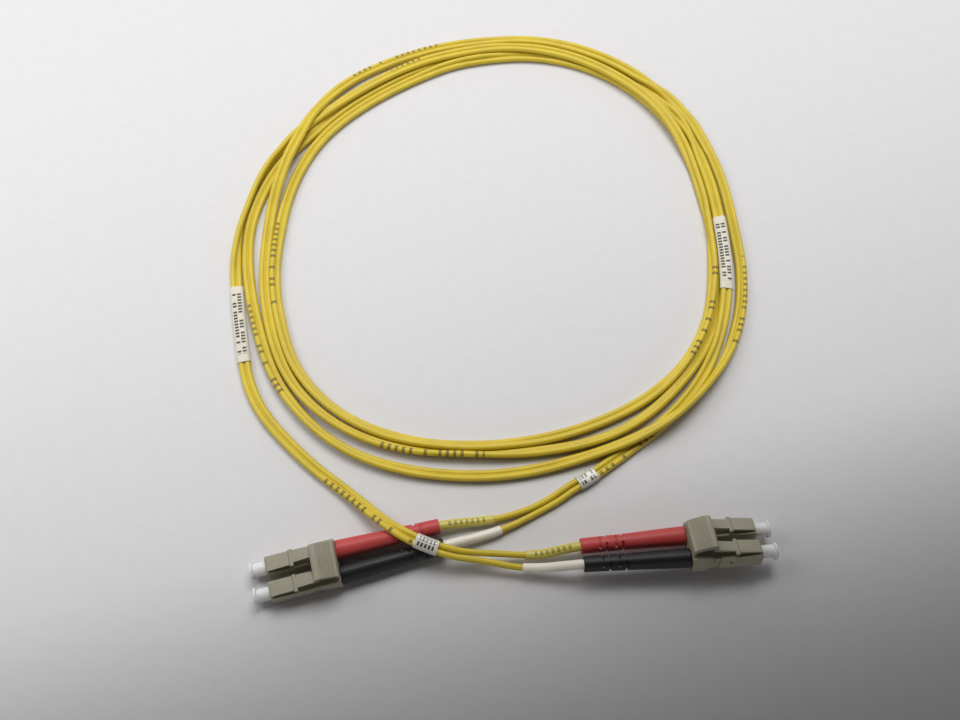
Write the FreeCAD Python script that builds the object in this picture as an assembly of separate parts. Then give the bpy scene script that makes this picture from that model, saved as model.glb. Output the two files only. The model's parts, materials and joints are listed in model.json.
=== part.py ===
import FreeCAD, Part
import math
import os

# Duplex fibre optic patch cord: two LC style plugs in a two-plug clip at each
# end, and between them a zipcord of two jacketed fibres wound into a flat coil.
# Millimetres, +Z up. The cord rests on the plane z = 0 and the origin is the
# centre of the whole cord's footprint.
#
# Plug frame, used by every plug and clip part: the front face is x = 0, +x
# points out of the front, +z towards the latch, and y = 0 is midway between
# the two plugs of a pair.

Vector = FreeCAD.Vector
X_AXIS, Y_AXIS, Z_AXIS = Vector(1, 0, 0), Vector(0, 1, 0), Vector(0, 0, 1)

# ---------------------------------------------------------- shared dimensions
PITCH = 6.25            # distance between the two plugs of a pair
PLUG_HALF = 2.25        # half of the square front housing
HOUSING_LEN = 10.5      # front face to seam
BODY_HALF = 2.10        # half of the square rear body
BODY_END = 17.2         # front face to the boot
SNAP_BACK, SNAP_FRONT = -9.95, -9.25    # housing windows for the body's snap ears
SNAP_HALF_W = 0.9
FERRULE_R = 0.625
FERRULE_OUT = 2.3       # ferrule tip in front of the housing
FERRULE_BORE_R = FERRULE_R + 0.075
CAP_R = 1.67            # dust cap tube
CAP_WELL_R = CAP_R + 0.08
CLIP_TOP = 2.75
TRIGGER_HALF_W = 4.40
TRIGGER_HINGE_X, TRIGGER_HINGE_Z = -16.75, 3.35
PAST = 0.1              # how far a cutter runs past the face it opens

JACKET_R = 0.79         # each half of the zipcord
LUMEN_R = 0.60
BUFFER_R = 0.30
FIBER_R = 0.125
BUFFER_BORE_R = FIBER_R + 0.03
BUFFER_FRONT = -10.95   # x of the buffer's ends, in the plug frame
FIBER_FRONT = FERRULE_OUT - 0.02
YARN_R, YARN_OFFSET = 0.10, 0.45
SHRINK_OUT_R, SHRINK_IN_R = 1.22, 0.90
SHRINK_FROM = -37.5     # x of the sleeve's front end, inside the boot
SHRINK_LEN = 20.0

# Each end: position of the pair's front centre, yaw and roll in degrees, and
# the side (+y or -y in the plug frame) that carries the red half
ENDS = {
    "a": dict(pos=(-51.4, 44.7, 2.45), yaw=194.6, roll=0.0, red_side=-1),
    "b": dict(pos=(68.1, 53.9, 4.0606), yaw=4.6, roll=-18.0, red_side=1),
}
COLOUR_SIDE = {"red": 1, "black": -1}   # relative to the red half's side

# centres the footprint on the origin and lifts the cord onto z = 0
SHIFT = Vector(-2.525, -129.920, 0.169)

# Sleeves round both halves: name, first and last path parameter, outer and
# inner radius. The path parameter grows by 1 with each span of the splines.
WRAPS = [
    ("marker_sleeve_a", 10.5, 11.5, 1.08, 0.93),
    ("marker_sleeve_b", 301.5, 302.5, 1.08, 0.93),
    ("wrap_label_a", 23.0, 27.0, 1.03, 0.93),
    ("wrap_label_b", 285.5, 289.5, 1.03, 0.93),
]

# Spline poles (x, y, z) of the two jackets' centre lines, from end A to end B,
# before the shift
RED_POLES = [
    (-32.156, 52.942, 2.450), (-30.268, 53.425, 2.450), (-26.493, 54.391, 2.449), (-20.749, 55.496, 2.457),
    (-15.071, 56.874, 2.420), (-9.403, 58.393, 2.556), (-3.652, 59.199, 1.540), (2.163, 59.789, 1.309),
    (7.845, 61.241, 1.044), (13.322, 63.148, 0.813), (18.523, 66.068, 0.745), (22.842, 69.113, 1.248),
    (26.824, 71.328, 1.206), (31.949, 74.794, 0.828), (36.754, 78.351, 0.843), (41.634, 81.883, 0.839),
    (46.343, 85.531, 0.841), (50.764, 89.492, 0.838), (54.853, 93.805, 0.848), (58.504, 98.473, 0.811),
    (61.642, 103.545, 0.949), (64.335, 108.577, 2.204), (66.162, 114.300, 2.475), (67.674, 119.997, 2.556),
    (68.678, 125.820, 2.935), (69.190, 131.725, 2.728), (69.492, 137.677, 2.626), (69.333, 143.608, 2.802),
    (69.086, 149.570, 2.846), (68.775, 155.530, 2.373), (68.133, 161.395, 2.417), (67.118, 167.164, 2.300),
    (65.805, 172.906, 2.453), (64.925, 178.964, 2.687), (62.738, 184.444, 1.698), (60.217, 189.737, 0.278),
    (56.390, 194.065, 2.229), (52.706, 199.133, 1.409), (48.551, 203.242, 0.688), (43.771, 206.861, 0.881),
    (38.761, 210.006, 0.829), (33.431, 212.574, 0.843), (27.853, 214.490, 0.839), (22.086, 215.684, 0.840),
    (16.191, 216.225, 0.840), (10.264, 216.173, 0.840), (4.356, 215.683, 0.840), (-1.461, 214.711, 0.840),
    (-7.160, 213.115, 0.840), (-12.721, 211.097, 0.840), (-18.117, 208.575, 0.840), (-23.391, 205.822, 0.840),
    (-28.443, 202.625, 0.840), (-33.344, 199.161, 0.841), (-38.086, 195.496, 0.834), (-42.561, 191.529, 0.861),
    (-46.778, 187.301, 0.763), (-50.335, 182.502, 1.129), (-54.351, 177.867, 1.008), (-57.946, 173.363, 0.795),
    (-60.914, 168.237, 0.852), (-63.259, 162.864, 0.837), (-65.030, 157.201, 0.841), (-66.321, 151.436, 0.840),
    (-66.887, 145.603, 0.840), (-66.551, 139.711, 0.840), (-65.855, 133.815, 0.840), (-64.672, 127.977, 0.840),
    (-63.373, 122.235, 0.840), (-61.597, 116.527, 0.840), (-59.703, 110.876, 0.840), (-57.578, 105.308, 0.840),
    (-55.102, 99.953, 0.840), (-51.945, 94.973, 0.840), (-48.279, 90.277, 0.840), (-44.211, 85.966, 0.840),
    (-39.623, 82.219, 0.840), (-34.583, 79.125, 0.840), (-29.184, 76.712, 0.840), (-23.534, 74.922, 0.840),
    (-17.732, 73.657, 0.840), (-11.841, 72.850, 0.840), (-5.900, 72.423, 0.840), (0.050, 72.346, 0.840),
    (5.970, 72.731, 0.841), (11.864, 73.558, 0.838), (17.690, 74.774, 0.848), (23.460, 76.338, 0.811),
    (29.253, 78.048, 0.947), (34.953, 79.878, 1.571), (40.436, 82.038, 2.410), (45.773, 84.551, 2.851),
    (50.865, 87.517, 2.915), (55.515, 91.155, 2.700), (59.735, 95.315, 2.190), (63.513, 99.873, 1.467),
    (66.615, 104.940, 0.853), (69.023, 110.365, 0.837), (71.101, 115.873, 0.841), (72.643, 121.555, 0.840),
    (73.638, 127.388, 0.840), (74.180, 133.285, 0.840), (74.199, 139.185, 0.840), (73.794, 145.129, 0.840),
    (73.378, 151.129, 0.840), (72.972, 157.094, 0.840), (72.255, 162.998, 0.840), (71.126, 168.862, 0.840),
    (69.684, 174.693, 0.838), (67.681, 180.392, 0.846), (65.819, 186.169, 0.818), (62.404, 191.181, 0.922),
    (59.300, 196.304, 0.533), (54.921, 199.571, 2.938), (50.008, 203.211, 2.364), (45.477, 206.972, 2.470),
    (40.518, 210.222, 2.450), (35.288, 212.983, 2.473), (29.791, 215.236, 2.525), (24.107, 217.011, 2.596),
    (18.308, 218.266, 2.538), (12.442, 218.799, 2.358), (6.514, 218.675, 2.245), (0.570, 218.087, 2.019),
    (-5.357, 217.280, 1.903), (-11.207, 216.185, 1.751), (-16.966, 214.709, 1.472), (-22.607, 212.835, 1.190),
    (-28.093, 210.555, 0.999), (-33.373, 207.825, 0.935), (-38.326, 204.570, 1.020), (-42.756, 200.709, 1.299),
    (-46.493, 196.167, 1.773), (-49.602, 191.200, 2.830), (-52.014, 185.816, 4.173), (-54.047, 180.194, 3.750),
    (-56.028, 174.647, 4.046), (-57.759, 168.964, 3.937), (-59.177, 163.239, 3.249), (-60.371, 157.511, 2.017),
    (-61.040, 151.729, 0.949), (-61.295, 145.732, 0.811), (-61.231, 139.708, 0.848), (-61.032, 133.728, 0.838),
    (-60.443, 127.832, 0.841), (-59.338, 122.019, 0.840), (-57.838, 116.254, 0.840), (-56.046, 110.583, 0.840),
    (-53.910, 105.035, 0.840), (-51.299, 99.770, 0.840), (-47.850, 95.022, 0.840), (-43.695, 90.813, 0.840),
    (-39.030, 87.169, 0.840), (-33.932, 84.147, 0.840), (-28.497, 81.803, 0.840), (-22.809, 80.082, 0.840),
    (-16.964, 78.912, 0.840), (-11.033, 78.118, 0.840), (-5.071, 77.589, 0.840), (0.910, 77.623, 0.840),
    (6.876, 78.043, 0.840), (12.822, 78.673, 0.840), (18.777, 79.414, 0.840), (24.643, 80.393, 0.840),
    (30.401, 81.866, 0.840), (35.930, 83.958, 0.840), (41.101, 86.811, 0.840), (45.839, 90.354, 0.840),
    (50.141, 94.439, 0.840), (54.131, 98.843, 0.840), (57.748, 103.544, 0.840), (60.760, 108.697, 0.840),
    (63.523, 113.890, 0.840), (65.514, 119.390, 0.840), (66.968, 125.106, 0.840), (68.048, 130.948, 0.840),
    (68.607, 136.837, 0.840), (68.891, 142.807, 0.840), (68.794, 148.715, 0.840), (68.254, 154.649, 0.840),
    (67.459, 160.557, 0.841), (66.409, 166.445, 0.837), (65.016, 172.174, 0.850), (63.020, 177.691, 0.803),
    (59.969, 182.609, 1.066), (57.228, 187.815, 1.021), (53.702, 192.715, 1.087), (49.890, 197.173, 0.826),
    (45.564, 201.274, 0.844), (40.759, 204.693, 0.839), (35.607, 207.618, 0.840), (30.182, 209.958, 0.840),
    (24.525, 211.610, 0.840), (18.705, 212.597, 0.840), (12.785, 212.888, 0.840), (6.901, 212.421, 0.840),
    (0.948, 211.625, 0.840), (-4.872, 210.461, 0.840), (-10.392, 208.642, 0.840), (-15.709, 205.987, 0.840),
    (-20.951, 203.152, 0.840), (-26.041, 199.999, 0.840), (-30.978, 196.656, 0.840), (-35.690, 193.006, 0.840),
    (-40.159, 189.088, 0.840), (-44.295, 184.863, 0.840), (-47.919, 180.223, 0.840), (-50.929, 175.160, 0.840),
    (-53.339, 169.767, 0.840), (-55.198, 164.141, 0.840), (-56.501, 158.365, 0.840), (-57.395, 152.464, 0.840),
    (-57.826, 146.483, 0.840), (-58.184, 140.393, 0.840), (-58.246, 134.484, 0.840), (-57.677, 128.624, 0.840),
    (-56.671, 122.835, 0.840), (-55.170, 117.145, 0.840), (-53.416, 111.478, 0.840), (-51.344, 105.972, 0.840),
    (-48.495, 100.841, 0.840), (-44.852, 96.194, 0.840), (-40.599, 92.084, 0.840), (-35.822, 88.601, 0.840),
    (-30.598, 85.846, 0.840), (-25.057, 83.716, 0.840), (-19.340, 82.059, 0.840), (-13.505, 80.952, 0.840),
    (-7.589, 80.506, 0.840), (-1.626, 80.439, 0.840), (4.315, 80.641, 0.840), (10.216, 81.374, 0.840),
    (16.093, 82.424, 0.840), (21.866, 83.822, 0.840), (27.514, 85.674, 0.840), (33.060, 87.856, 0.840),
    (38.413, 90.401, 0.840), (43.522, 93.401, 0.840), (48.285, 96.857, 0.840), (52.636, 100.799, 0.840),
    (56.534, 105.241, 0.840), (59.722, 110.233, 0.840), (62.336, 115.582, 0.840), (64.250, 121.198, 0.840),
    (65.427, 127.045, 0.840), (66.203, 132.969, 0.840), (66.854, 138.880, 0.840), (67.225, 144.804, 0.840),
    (66.926, 150.816, 0.840), (66.024, 156.769, 0.842), (65.231, 162.776, 0.834), (64.199, 168.733, 0.863),
    (62.461, 174.450, 1.433), (60.409, 179.901, 2.301), (58.016, 185.332, 2.752), (55.124, 190.494, 2.852),
    (51.583, 195.254, 2.652), (47.513, 199.550, 2.558), (42.992, 203.366, 2.586), (38.148, 206.829, 2.521),
    (33.036, 209.822, 2.346), (27.629, 212.127, 2.557), (21.980, 213.775, 2.582), (16.159, 214.865, 2.577),
    (10.276, 215.332, 2.642), (4.351, 215.139, 2.545), (-1.501, 214.212, 2.491), (-7.288, 212.821, 2.562),
    (-13.061, 211.157, 2.620), (-18.632, 209.322, 2.316), (-23.885, 206.646, 2.435), (-28.992, 203.641, 2.488),
    (-33.897, 200.279, 2.514), (-38.646, 196.686, 2.526), (-43.226, 192.870, 2.562), (-47.673, 188.975, 2.594),
    (-52.013, 184.821, 2.446), (-56.219, 180.929, 1.050), (-60.209, 176.265, 1.083), (-63.550, 171.246, 0.850),
    (-66.133, 165.730, 0.837), (-68.120, 160.025, 0.840), (-69.582, 154.125, 0.841), (-70.279, 148.099, 0.837),
    (-70.193, 142.093, 0.853), (-69.610, 136.208, 0.792), (-68.727, 130.257, 1.020), (-67.758, 124.331, 1.133),
    (-66.648, 118.428, 1.108), (-65.412, 112.598, 1.094), (-64.163, 106.754, 1.176), (-62.835, 101.048, 0.860),
    (-60.813, 95.600, 0.835), (-57.927, 90.511, 0.842), (-54.289, 85.900, 0.839), (-50.145, 81.631, 0.841),
    (-45.828, 77.492, 0.835), (-41.357, 73.599, 0.858), (-36.573, 70.096, 0.774), (-31.722, 66.464, 1.085),
    (-27.193, 62.540, 2.231), (-22.717, 58.740, 3.865), (-18.098, 55.708, 6.332), (-12.801, 53.311, 5.504),
    (-7.129, 51.683, 5.389), (-3.899, 51.237, 3.928), (2.636, 51.098, 3.075), (8.240, 50.989, 2.207),
    (14.155, 50.850, 1.591), (19.814, 52.111, 2.406), (25.441, 52.968, 3.543), (31.319, 53.512, 3.159),
    (36.990, 54.000, 3.235), (43.250, 54.955, 3.067), (45.902, 55.120, 3.086), (47.228, 55.202, 3.095),
]

BLACK_POLES = [
    (-30.581, 46.894, 2.450), (-28.648, 47.410, 2.449), (-24.782, 48.441, 2.448), (-19.079, 50.321, 2.459),
    (-13.284, 51.876, 2.411), (-7.515, 53.589, 2.579), (-1.765, 55.162, 1.401), (3.994, 56.837, 1.297),
    (9.533, 59.251, 1.029), (14.665, 62.040, 0.787), (20.415, 65.125, 0.863), (23.482, 67.541, 1.214),
    (27.769, 69.902, 1.179), (32.943, 73.422, 0.968), (37.759, 76.977, 0.806), (42.641, 80.515, 0.848),
    (47.427, 84.218, 0.844), (51.951, 88.274, 0.839), (56.140, 92.682, 0.839), (59.893, 97.524, 0.845),
    (63.168, 102.638, 0.855), (65.655, 108.236, 1.084), (67.715, 113.815, 1.910), (69.336, 119.656, 2.387),
    (70.348, 125.604, 2.640), (70.906, 131.628, 2.952), (71.068, 137.645, 3.262), (70.951, 143.665, 3.315),
    (70.728, 149.675, 3.267), (70.250, 155.655, 3.224), (69.764, 161.629, 2.924), (68.744, 167.496, 2.422),
    (67.632, 173.320, 2.348), (65.839, 179.010, 1.086), (64.501, 185.150, 1.099), (61.323, 190.495, 2.149),
    (57.472, 195.052, 0.625), (54.049, 200.002, 0.898), (49.642, 204.610, 0.825), (44.747, 208.243, 0.844),
    (39.587, 211.502, 0.839), (34.082, 214.150, 0.840), (28.306, 216.135, 0.840), (22.327, 217.370, 0.840),
    (16.261, 217.924, 0.840), (10.182, 217.872, 0.840), (4.152, 217.374, 0.840), (-1.839, 216.370, 0.840),
    (-7.677, 214.737, 0.840), (-13.382, 212.663, 0.840), (-18.865, 210.105, 0.840), (-24.246, 207.292, 0.840),
    (-29.392, 204.036, 0.840), (-34.353, 200.531, 0.840), (-39.168, 196.808, 0.840), (-43.726, 192.764, 0.840),
    (-48.056, 188.437, 0.840), (-51.711, 183.457, 0.840), (-55.561, 179.064, 0.840), (-59.387, 174.282, 0.840),
    (-62.423, 169.024, 0.840), (-64.862, 163.442, 0.840), (-66.671, 157.649, 0.840), (-68.002, 151.719, 0.840),
    (-68.593, 145.628, 0.840), (-68.241, 139.544, 0.840), (-67.524, 133.543, 0.839), (-66.343, 127.662, 0.844),
    (-65.006, 121.757, 0.825), (-63.219, 116.015, 0.927), (-61.282, 110.307, 1.154), (-59.060, 104.701, 1.448),
    (-56.365, 99.260, 1.766), (-52.985, 94.221, 1.961), (-49.172, 89.517, 2.074), (-44.965, 85.155, 2.132),
    (-40.271, 81.314, 2.127), (-35.146, 78.066, 2.051), (-29.655, 75.475, 1.916), (-23.905, 73.529, 1.750),
    (-17.997, 72.158, 1.605), (-12.002, 71.281, 1.478), (-5.969, 70.837, 1.450), (0.086, 70.754, 1.439),
    (6.139, 71.134, 1.401), (12.140, 71.971, 1.385), (18.070, 73.218, 1.423), (23.892, 74.877, 1.582),
    (29.590, 76.715, 1.953), (35.264, 78.574, 2.616), (40.872, 80.728, 3.406), (46.282, 83.465, 4.083),
    (51.358, 86.848, 4.424), (55.922, 90.862, 4.334), (60.101, 95.225, 3.848), (63.994, 99.757, 3.096),
    (67.445, 104.575, 2.346), (70.378, 109.781, 1.764), (72.639, 115.370, 1.386), (74.290, 121.196, 1.125),
    (75.326, 127.168, 0.910), (75.880, 133.199, 0.821), (75.899, 139.256, 0.845), (75.489, 145.263, 0.839),
    (75.075, 151.231, 0.840), (74.666, 157.243, 0.840), (73.935, 163.263, 0.840), (72.788, 169.228, 0.841),
    (71.312, 175.175, 0.837), (69.300, 180.944, 0.851), (67.321, 186.911, 0.800), (63.852, 192.026, 0.988),
    (60.643, 197.513, 1.024), (55.479, 200.821, 1.508), (51.232, 204.549, 2.681), (46.437, 208.312, 2.723),
    (41.379, 211.665, 2.784), (35.996, 214.500, 2.780), (30.369, 216.839, 2.660), (24.545, 218.657, 2.464),
    (18.574, 219.920, 2.228), (12.498, 220.472, 2.051), (6.414, 220.342, 1.911), (0.369, 219.779, 1.944),
    (-5.621, 218.959, 1.932), (-11.573, 217.847, 1.750), (-17.445, 216.342, 1.472), (-23.201, 214.429, 1.189),
    (-28.808, 212.099, 0.999), (-34.226, 209.298, 0.933), (-39.351, 205.936, 1.022), (-43.972, 201.895, 1.301),
    (-47.902, 197.181, 1.865), (-51.074, 191.850, 2.200), (-53.530, 186.323, 3.541), (-55.658, 180.817, 3.848),
    (-57.638, 175.174, 4.056), (-59.400, 169.418, 3.937), (-60.834, 163.615, 3.245), (-62.047, 157.806, 2.020),
    (-62.741, 151.837, 0.936), (-62.989, 145.756, 0.814), (-62.925, 139.673, 0.847), (-62.728, 133.631, 0.837),
    (-62.125, 127.585, 0.846), (-60.994, 121.638, 0.820), (-59.471, 115.787, 0.982), (-57.605, 110.034, 1.283),
    (-55.305, 104.437, 1.640), (-52.441, 99.076, 1.906), (-48.775, 94.221, 2.026), (-44.462, 89.949, 2.089),
    (-39.664, 86.237, 2.114), (-34.448, 83.141, 2.112), (-28.901, 80.681, 2.054), (-23.098, 78.930, 2.054),
    (-17.131, 77.825, 2.141), (-11.117, 77.317, 2.356), (-5.090, 77.175, 2.487), (0.935, 76.969, 2.425),
    (6.966, 76.920, 2.146), (12.987, 77.309, 1.844), (18.964, 78.020, 1.795), (24.914, 79.120, 1.939),
    (30.765, 80.692, 2.016), (36.438, 82.855, 2.033), (41.768, 85.779, 2.018), (46.659, 89.388, 1.976),
    (51.102, 93.504, 1.893), (55.187, 97.948, 1.813), (59.004, 102.709, 1.700), (62.246, 107.831, 0.964),
    (65.076, 113.210, 0.807), (67.144, 118.896, 0.849), (68.630, 124.749, 0.838), (69.732, 130.700, 0.841),
    (70.306, 136.743, 0.840), (70.593, 142.751, 0.840), (70.491, 148.826, 0.840), (69.946, 154.843, 0.840),
    (69.138, 160.821, 0.839), (68.091, 166.767, 0.842), (66.639, 172.688, 0.833), (64.581, 178.404, 0.868),
    (61.370, 183.459, 0.737), (58.647, 188.774, 1.224), (55.092, 193.658, 0.737), (51.093, 198.380, 0.868),
    (46.655, 202.581, 0.833), (41.667, 206.135, 0.842), (36.371, 209.139, 0.840), (30.761, 211.562, 0.837),
    (24.908, 213.270, 0.851), (18.882, 214.296, 0.797), (12.779, 214.577, 1.000), (6.666, 214.105, 1.246),
    (0.765, 212.865, 2.036), (-5.212, 211.915, 1.659), (-11.036, 210.091, 1.481), (-16.477, 207.479, 1.179),
    (-21.812, 204.625, 0.809), (-26.960, 201.429, 0.848), (-31.978, 198.033, 0.838), (-36.768, 194.320, 0.841),
    (-41.323, 190.326, 0.840), (-45.570, 185.991, 0.840), (-49.327, 181.185, 0.840), (-52.444, 175.941, 0.840),
    (-54.929, 170.379, 0.840), (-56.838, 164.598, 0.839), (-58.178, 158.665, 0.845), (-59.076, 152.672, 0.821),
    (-59.555, 146.548, 0.911), (-59.686, 140.492, 1.702), (-59.637, 134.407, 1.798), (-59.068, 128.438, 1.802),
    (-58.008, 122.541, 1.847), (-56.493, 116.754, 1.832), (-54.720, 111.052, 1.843), (-52.543, 105.422, 1.921),
    (-49.485, 100.172, 2.056), (-45.701, 95.425, 2.098), (-41.333, 91.214, 2.104), (-36.453, 87.598, 2.064),
    (-31.143, 84.640, 1.918), (-25.514, 82.350, 1.749), (-19.649, 80.774, 1.915), (-13.665, 79.732, 2.015),
    (-7.637, 79.162, 1.885), (-1.617, 79.002, 1.748), (4.420, 79.276, 1.848), (10.445, 79.905, 1.677),
    (16.414, 80.852, 1.417), (22.303, 82.295, 1.447), (28.057, 84.184, 1.455), (33.683, 86.397, 1.452),
    (39.156, 89.000, 1.460), (44.379, 92.079, 1.475), (49.255, 95.676, 1.635), (53.479, 99.984, 2.106),
    (57.289, 104.675, 2.254), (60.434, 109.842, 2.343), (63.116, 115.256, 2.317), (65.051, 120.988, 2.325),
    (66.317, 126.898, 2.284), (67.273, 132.850, 2.161), (67.513, 138.821, 2.449), (67.274, 144.815, 2.539),
    (67.060, 150.823, 2.569), (66.990, 156.904, 2.278), (66.108, 162.913, 2.272), (64.950, 168.829, 2.399),
    (63.810, 174.725, 2.571), (62.004, 180.526, 2.625), (59.549, 186.066, 2.781), (56.551, 191.430, 2.765),
    (52.887, 196.350, 2.714), (48.678, 200.792, 2.615), (44.031, 204.714, 2.577), (39.083, 208.250, 2.504),
    (33.805, 211.342, 2.455), (28.200, 213.733, 2.448), (22.370, 215.430, 2.589), (16.394, 216.558, 2.598),
    (10.301, 217.010, 2.299), (4.199, 216.830, 2.506), (-1.834, 215.879, 2.506), (-7.750, 214.458, 2.567),
    (-13.524, 212.795, 2.611), (-19.302, 210.889, 2.363), (-24.708, 208.135, 2.283), (-29.896, 205.048, 2.173),
    (-34.869, 201.623, 2.121), (-39.659, 197.960, 2.062), (-44.318, 194.132, 2.083), (-48.611, 190.001, 1.766),
    (-53.147, 186.161, 1.394), (-57.270, 181.639, 2.788), (-60.239, 176.269, 2.747), (-63.620, 171.217, 2.558),
    (-65.958, 165.660, 2.536), (-67.557, 159.844, 2.443), (-68.878, 153.999, 2.385), (-70.030, 148.113, 2.556),
    (-70.679, 142.093, 2.542), (-70.978, 136.020, 2.016), (-70.487, 130.047, 0.969), (-69.409, 124.008, 1.147),
    (-68.322, 118.102, 1.101), (-67.070, 112.234, 1.108), (-65.829, 106.405, 1.127), (-64.465, 100.577, 1.044),
    (-62.357, 94.881, 0.953), (-59.335, 89.557, 0.986), (-55.551, 84.767, 0.999), (-51.331, 80.423, 0.995),
    (-46.982, 76.252, 0.989), (-42.415, 72.270, 0.968), (-37.533, 68.718, 1.091), (-32.790, 65.275, 1.703),
    (-28.331, 61.458, 2.825), (-23.897, 57.734, 4.779), (-18.895, 54.131, 5.968), (-13.439, 51.743, 5.839),
    (-7.300, 49.981, 5.099), (-4.897, 49.691, 4.323), (1.756, 49.163, 3.269), (7.391, 47.955, 2.627),
    (13.478, 47.426, 2.440), (19.364, 47.721, 3.648), (25.181, 48.029, 5.216), (31.258, 48.363, 4.801),
    (37.100, 48.814, 4.923), (43.620, 48.879, 5.043), (46.343, 49.145, 5.032), (47.705, 49.277, 5.026),
]


# ------------------------------------------------------------------- helpers
def box(back, front, y_min, y_max, z_min, z_max):
    return Part.makeBox(front - back, y_max - y_min, z_max - z_min, Vector(back, y_min, z_min))


def block(back, front, y, half_width, half_height):
    """Box centred on the plug axis at y."""
    return box(back, front, y - half_width, y + half_width, -half_height, half_height)


def rod(radius, back, front, y):
    return Part.makeCylinder(radius, front - back, Vector(back, y, 0), X_AXIS)


def tube(outer_r, inner_r, back, front, y):
    return rod(outer_r, back, front, y).cut(rod(inner_r, back - PAST, front + PAST, y))


def pin(radius, x, y, z, half_width):
    return Part.makeCylinder(radius, 2 * half_width, Vector(x, y - half_width, z), Y_AXIS)


def polygon_face(points):
    return Part.Face(Part.makePolygon(points + [points[0]]))


def extrude_y(outline, y, half_width):
    """Prism from (x, z) points, centred on y."""
    face = polygon_face([Vector(x, y - half_width, z) for x, z in outline])
    return face.extrude(Vector(0, 2 * half_width, 0))


def turned(profile, y):
    """Solid of revolution about the plug axis from (x, radius) points."""
    face = polygon_face([Vector(x, y, radius) for x, radius in profile])
    return face.revolve(Vector(0, y, 0), X_AXIS, 360)


def round_long_edges(shape, radius, above=-math.inf):
    """Fillet the edges that run along x and lie above the given z."""
    edges = []
    for edge in shape.Edges:
        bounds = edge.BoundBox
        along_x = bounds.XLength > 2.0 and bounds.YLength < 1e-6 and bounds.ZLength < 1e-6
        if along_x and bounds.ZMin > above:
            edges.append(edge)
    return shape.makeFillet(radius, edges)


def end_frame(end):
    """Placement of the plug frame at one end of the cord."""
    turn = FreeCAD.Rotation(Z_AXIS, end["yaw"]).multiply(FreeCAD.Rotation(X_AXIS, end["roll"]))
    return FreeCAD.Placement(Vector(*end["pos"]) + SHIFT, turn)


def place(shape, end):
    placed = shape.copy()
    placed.Placement = end_frame(end).multiply(placed.Placement)
    return placed


def plug_y(end, colour):
    return PITCH / 2 * end["red_side"] * COLOUR_SIDE[colour]


def save(node, shape):
    if shape.ShapeType == "Compound" and len(shape.Solids) == 1:
        shape = shape.Solids[0]
    assert shape.Solids and shape.isValid(), node
    shape.exportStep("parts/%s.step" % node)


# -------------------------------------- parts of one plug, whose axis is at y
def front_housing(y):
    half = PLUG_HALF
    bore_step = -4.6
    housing = round_long_edges(block(-HOUSING_LEN, 0, y, half, half), 0.22)
    housing = housing.cut(rod(CAP_WELL_R, -3.6, PAST, y))
    housing = housing.cut(rod(FERRULE_BORE_R, -5.0, PAST, y))
    housing = housing.cut(rod(1.75, -HOUSING_LEN - PAST, bore_step, y))
    # small square moulding window through both side walls
    housing = housing.cut(box(-8.0, -7.35, y - half - PAST, y + half + PAST, -0.30, 0.35))
    # snap windows of the rear body, top and bottom
    housing = housing.cut(block(SNAP_BACK, SNAP_FRONT, y, SNAP_HALF_W, half + PAST))
    # lead-in chamfer around the front opening
    chamfer = [(-0.25, 0), (-0.25, CAP_WELL_R), (0.05, CAP_WELL_R + 0.30), (0.05, 0)]
    return housing.cut(turned(chamfer, y))


def latch_lever(y):
    hinge_x, hinge_z = -0.60, 2.64
    root_half_w, arm_half_w, lug_half_w = 1.70, 1.30, 2.05
    root = extrude_y([(-0.27, hinge_z), (-0.27, 2.80), (-0.62, 3.04), (-6.0, 3.88),
                      (-6.0, 3.05), (-0.95, 2.66)], y, root_half_w)
    hinge = pin(0.33, hinge_x, y, hinge_z, root_half_w)
    arm = extrude_y([(-5.9, 3.69), (-12.10, 4.90), (-12.25, 4.82), (-12.25, 4.22),
                     (-5.9, 2.98)], y, arm_half_w)
    lugs = extrude_y([(-6.0, 3.62), (-6.15, 3.78), (-6.80, 3.90), (-6.95, 3.80),
                      (-6.95, 3.02), (-6.0, 2.95)], y, lug_half_w)
    return root.fuse([hinge, arm, lugs]).removeSplitter()


def ferrule(y):
    tip, outside_r = FERRULE_OUT, 0.9
    barrel = tube(FERRULE_R, 0.25, -5.2, tip, y)
    # bevel round the tip
    bevel = [(tip - 0.3, outside_r), (tip - 0.3, FERRULE_R), (tip, FERRULE_R - 0.16),
             (tip + PAST, 0.3), (tip + PAST, outside_r)]
    return barrel.cut(turned(bevel, y))


def ferrule_flange(y):
    head_back, head_len, corner_r = -6.2, 1.2, 1.45
    collar_front, stem_back, socket_back = -4.65, -9.6, -5.22
    corners = []
    for i in range(6):
        angle = math.radians(60 * i)
        corners.append(Vector(head_back, y + corner_r * math.cos(angle),
                              corner_r * math.sin(angle)))
    head = polygon_face(corners).extrude(Vector(head_len, 0, 0))
    collar = rod(1.0, -5.05, collar_front, y)
    stem = rod(0.75, stem_back, head_back + 0.05, y)
    flange = head.fuse([collar, stem])
    flange = flange.cut(rod(FERRULE_R + 0.005, socket_back, collar_front + PAST, y))
    return flange.cut(rod(0.42, stem_back - PAST, socket_back + PAST, y))


def ferrule_spring(y):
    turns, per_turn = 5, 12
    wire_r, coil_r = 0.14, 1.19
    back, front = -9.02, -6.42
    count = per_turn * turns
    points = []
    for i in range(count + 1):
        angle = 2 * math.pi * i / per_turn
        points.append(Vector(back + (front - back) * i / count,
                             y + coil_r * math.cos(angle), coil_r * math.sin(angle)))
    return pipe(points, wire_r)


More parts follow.
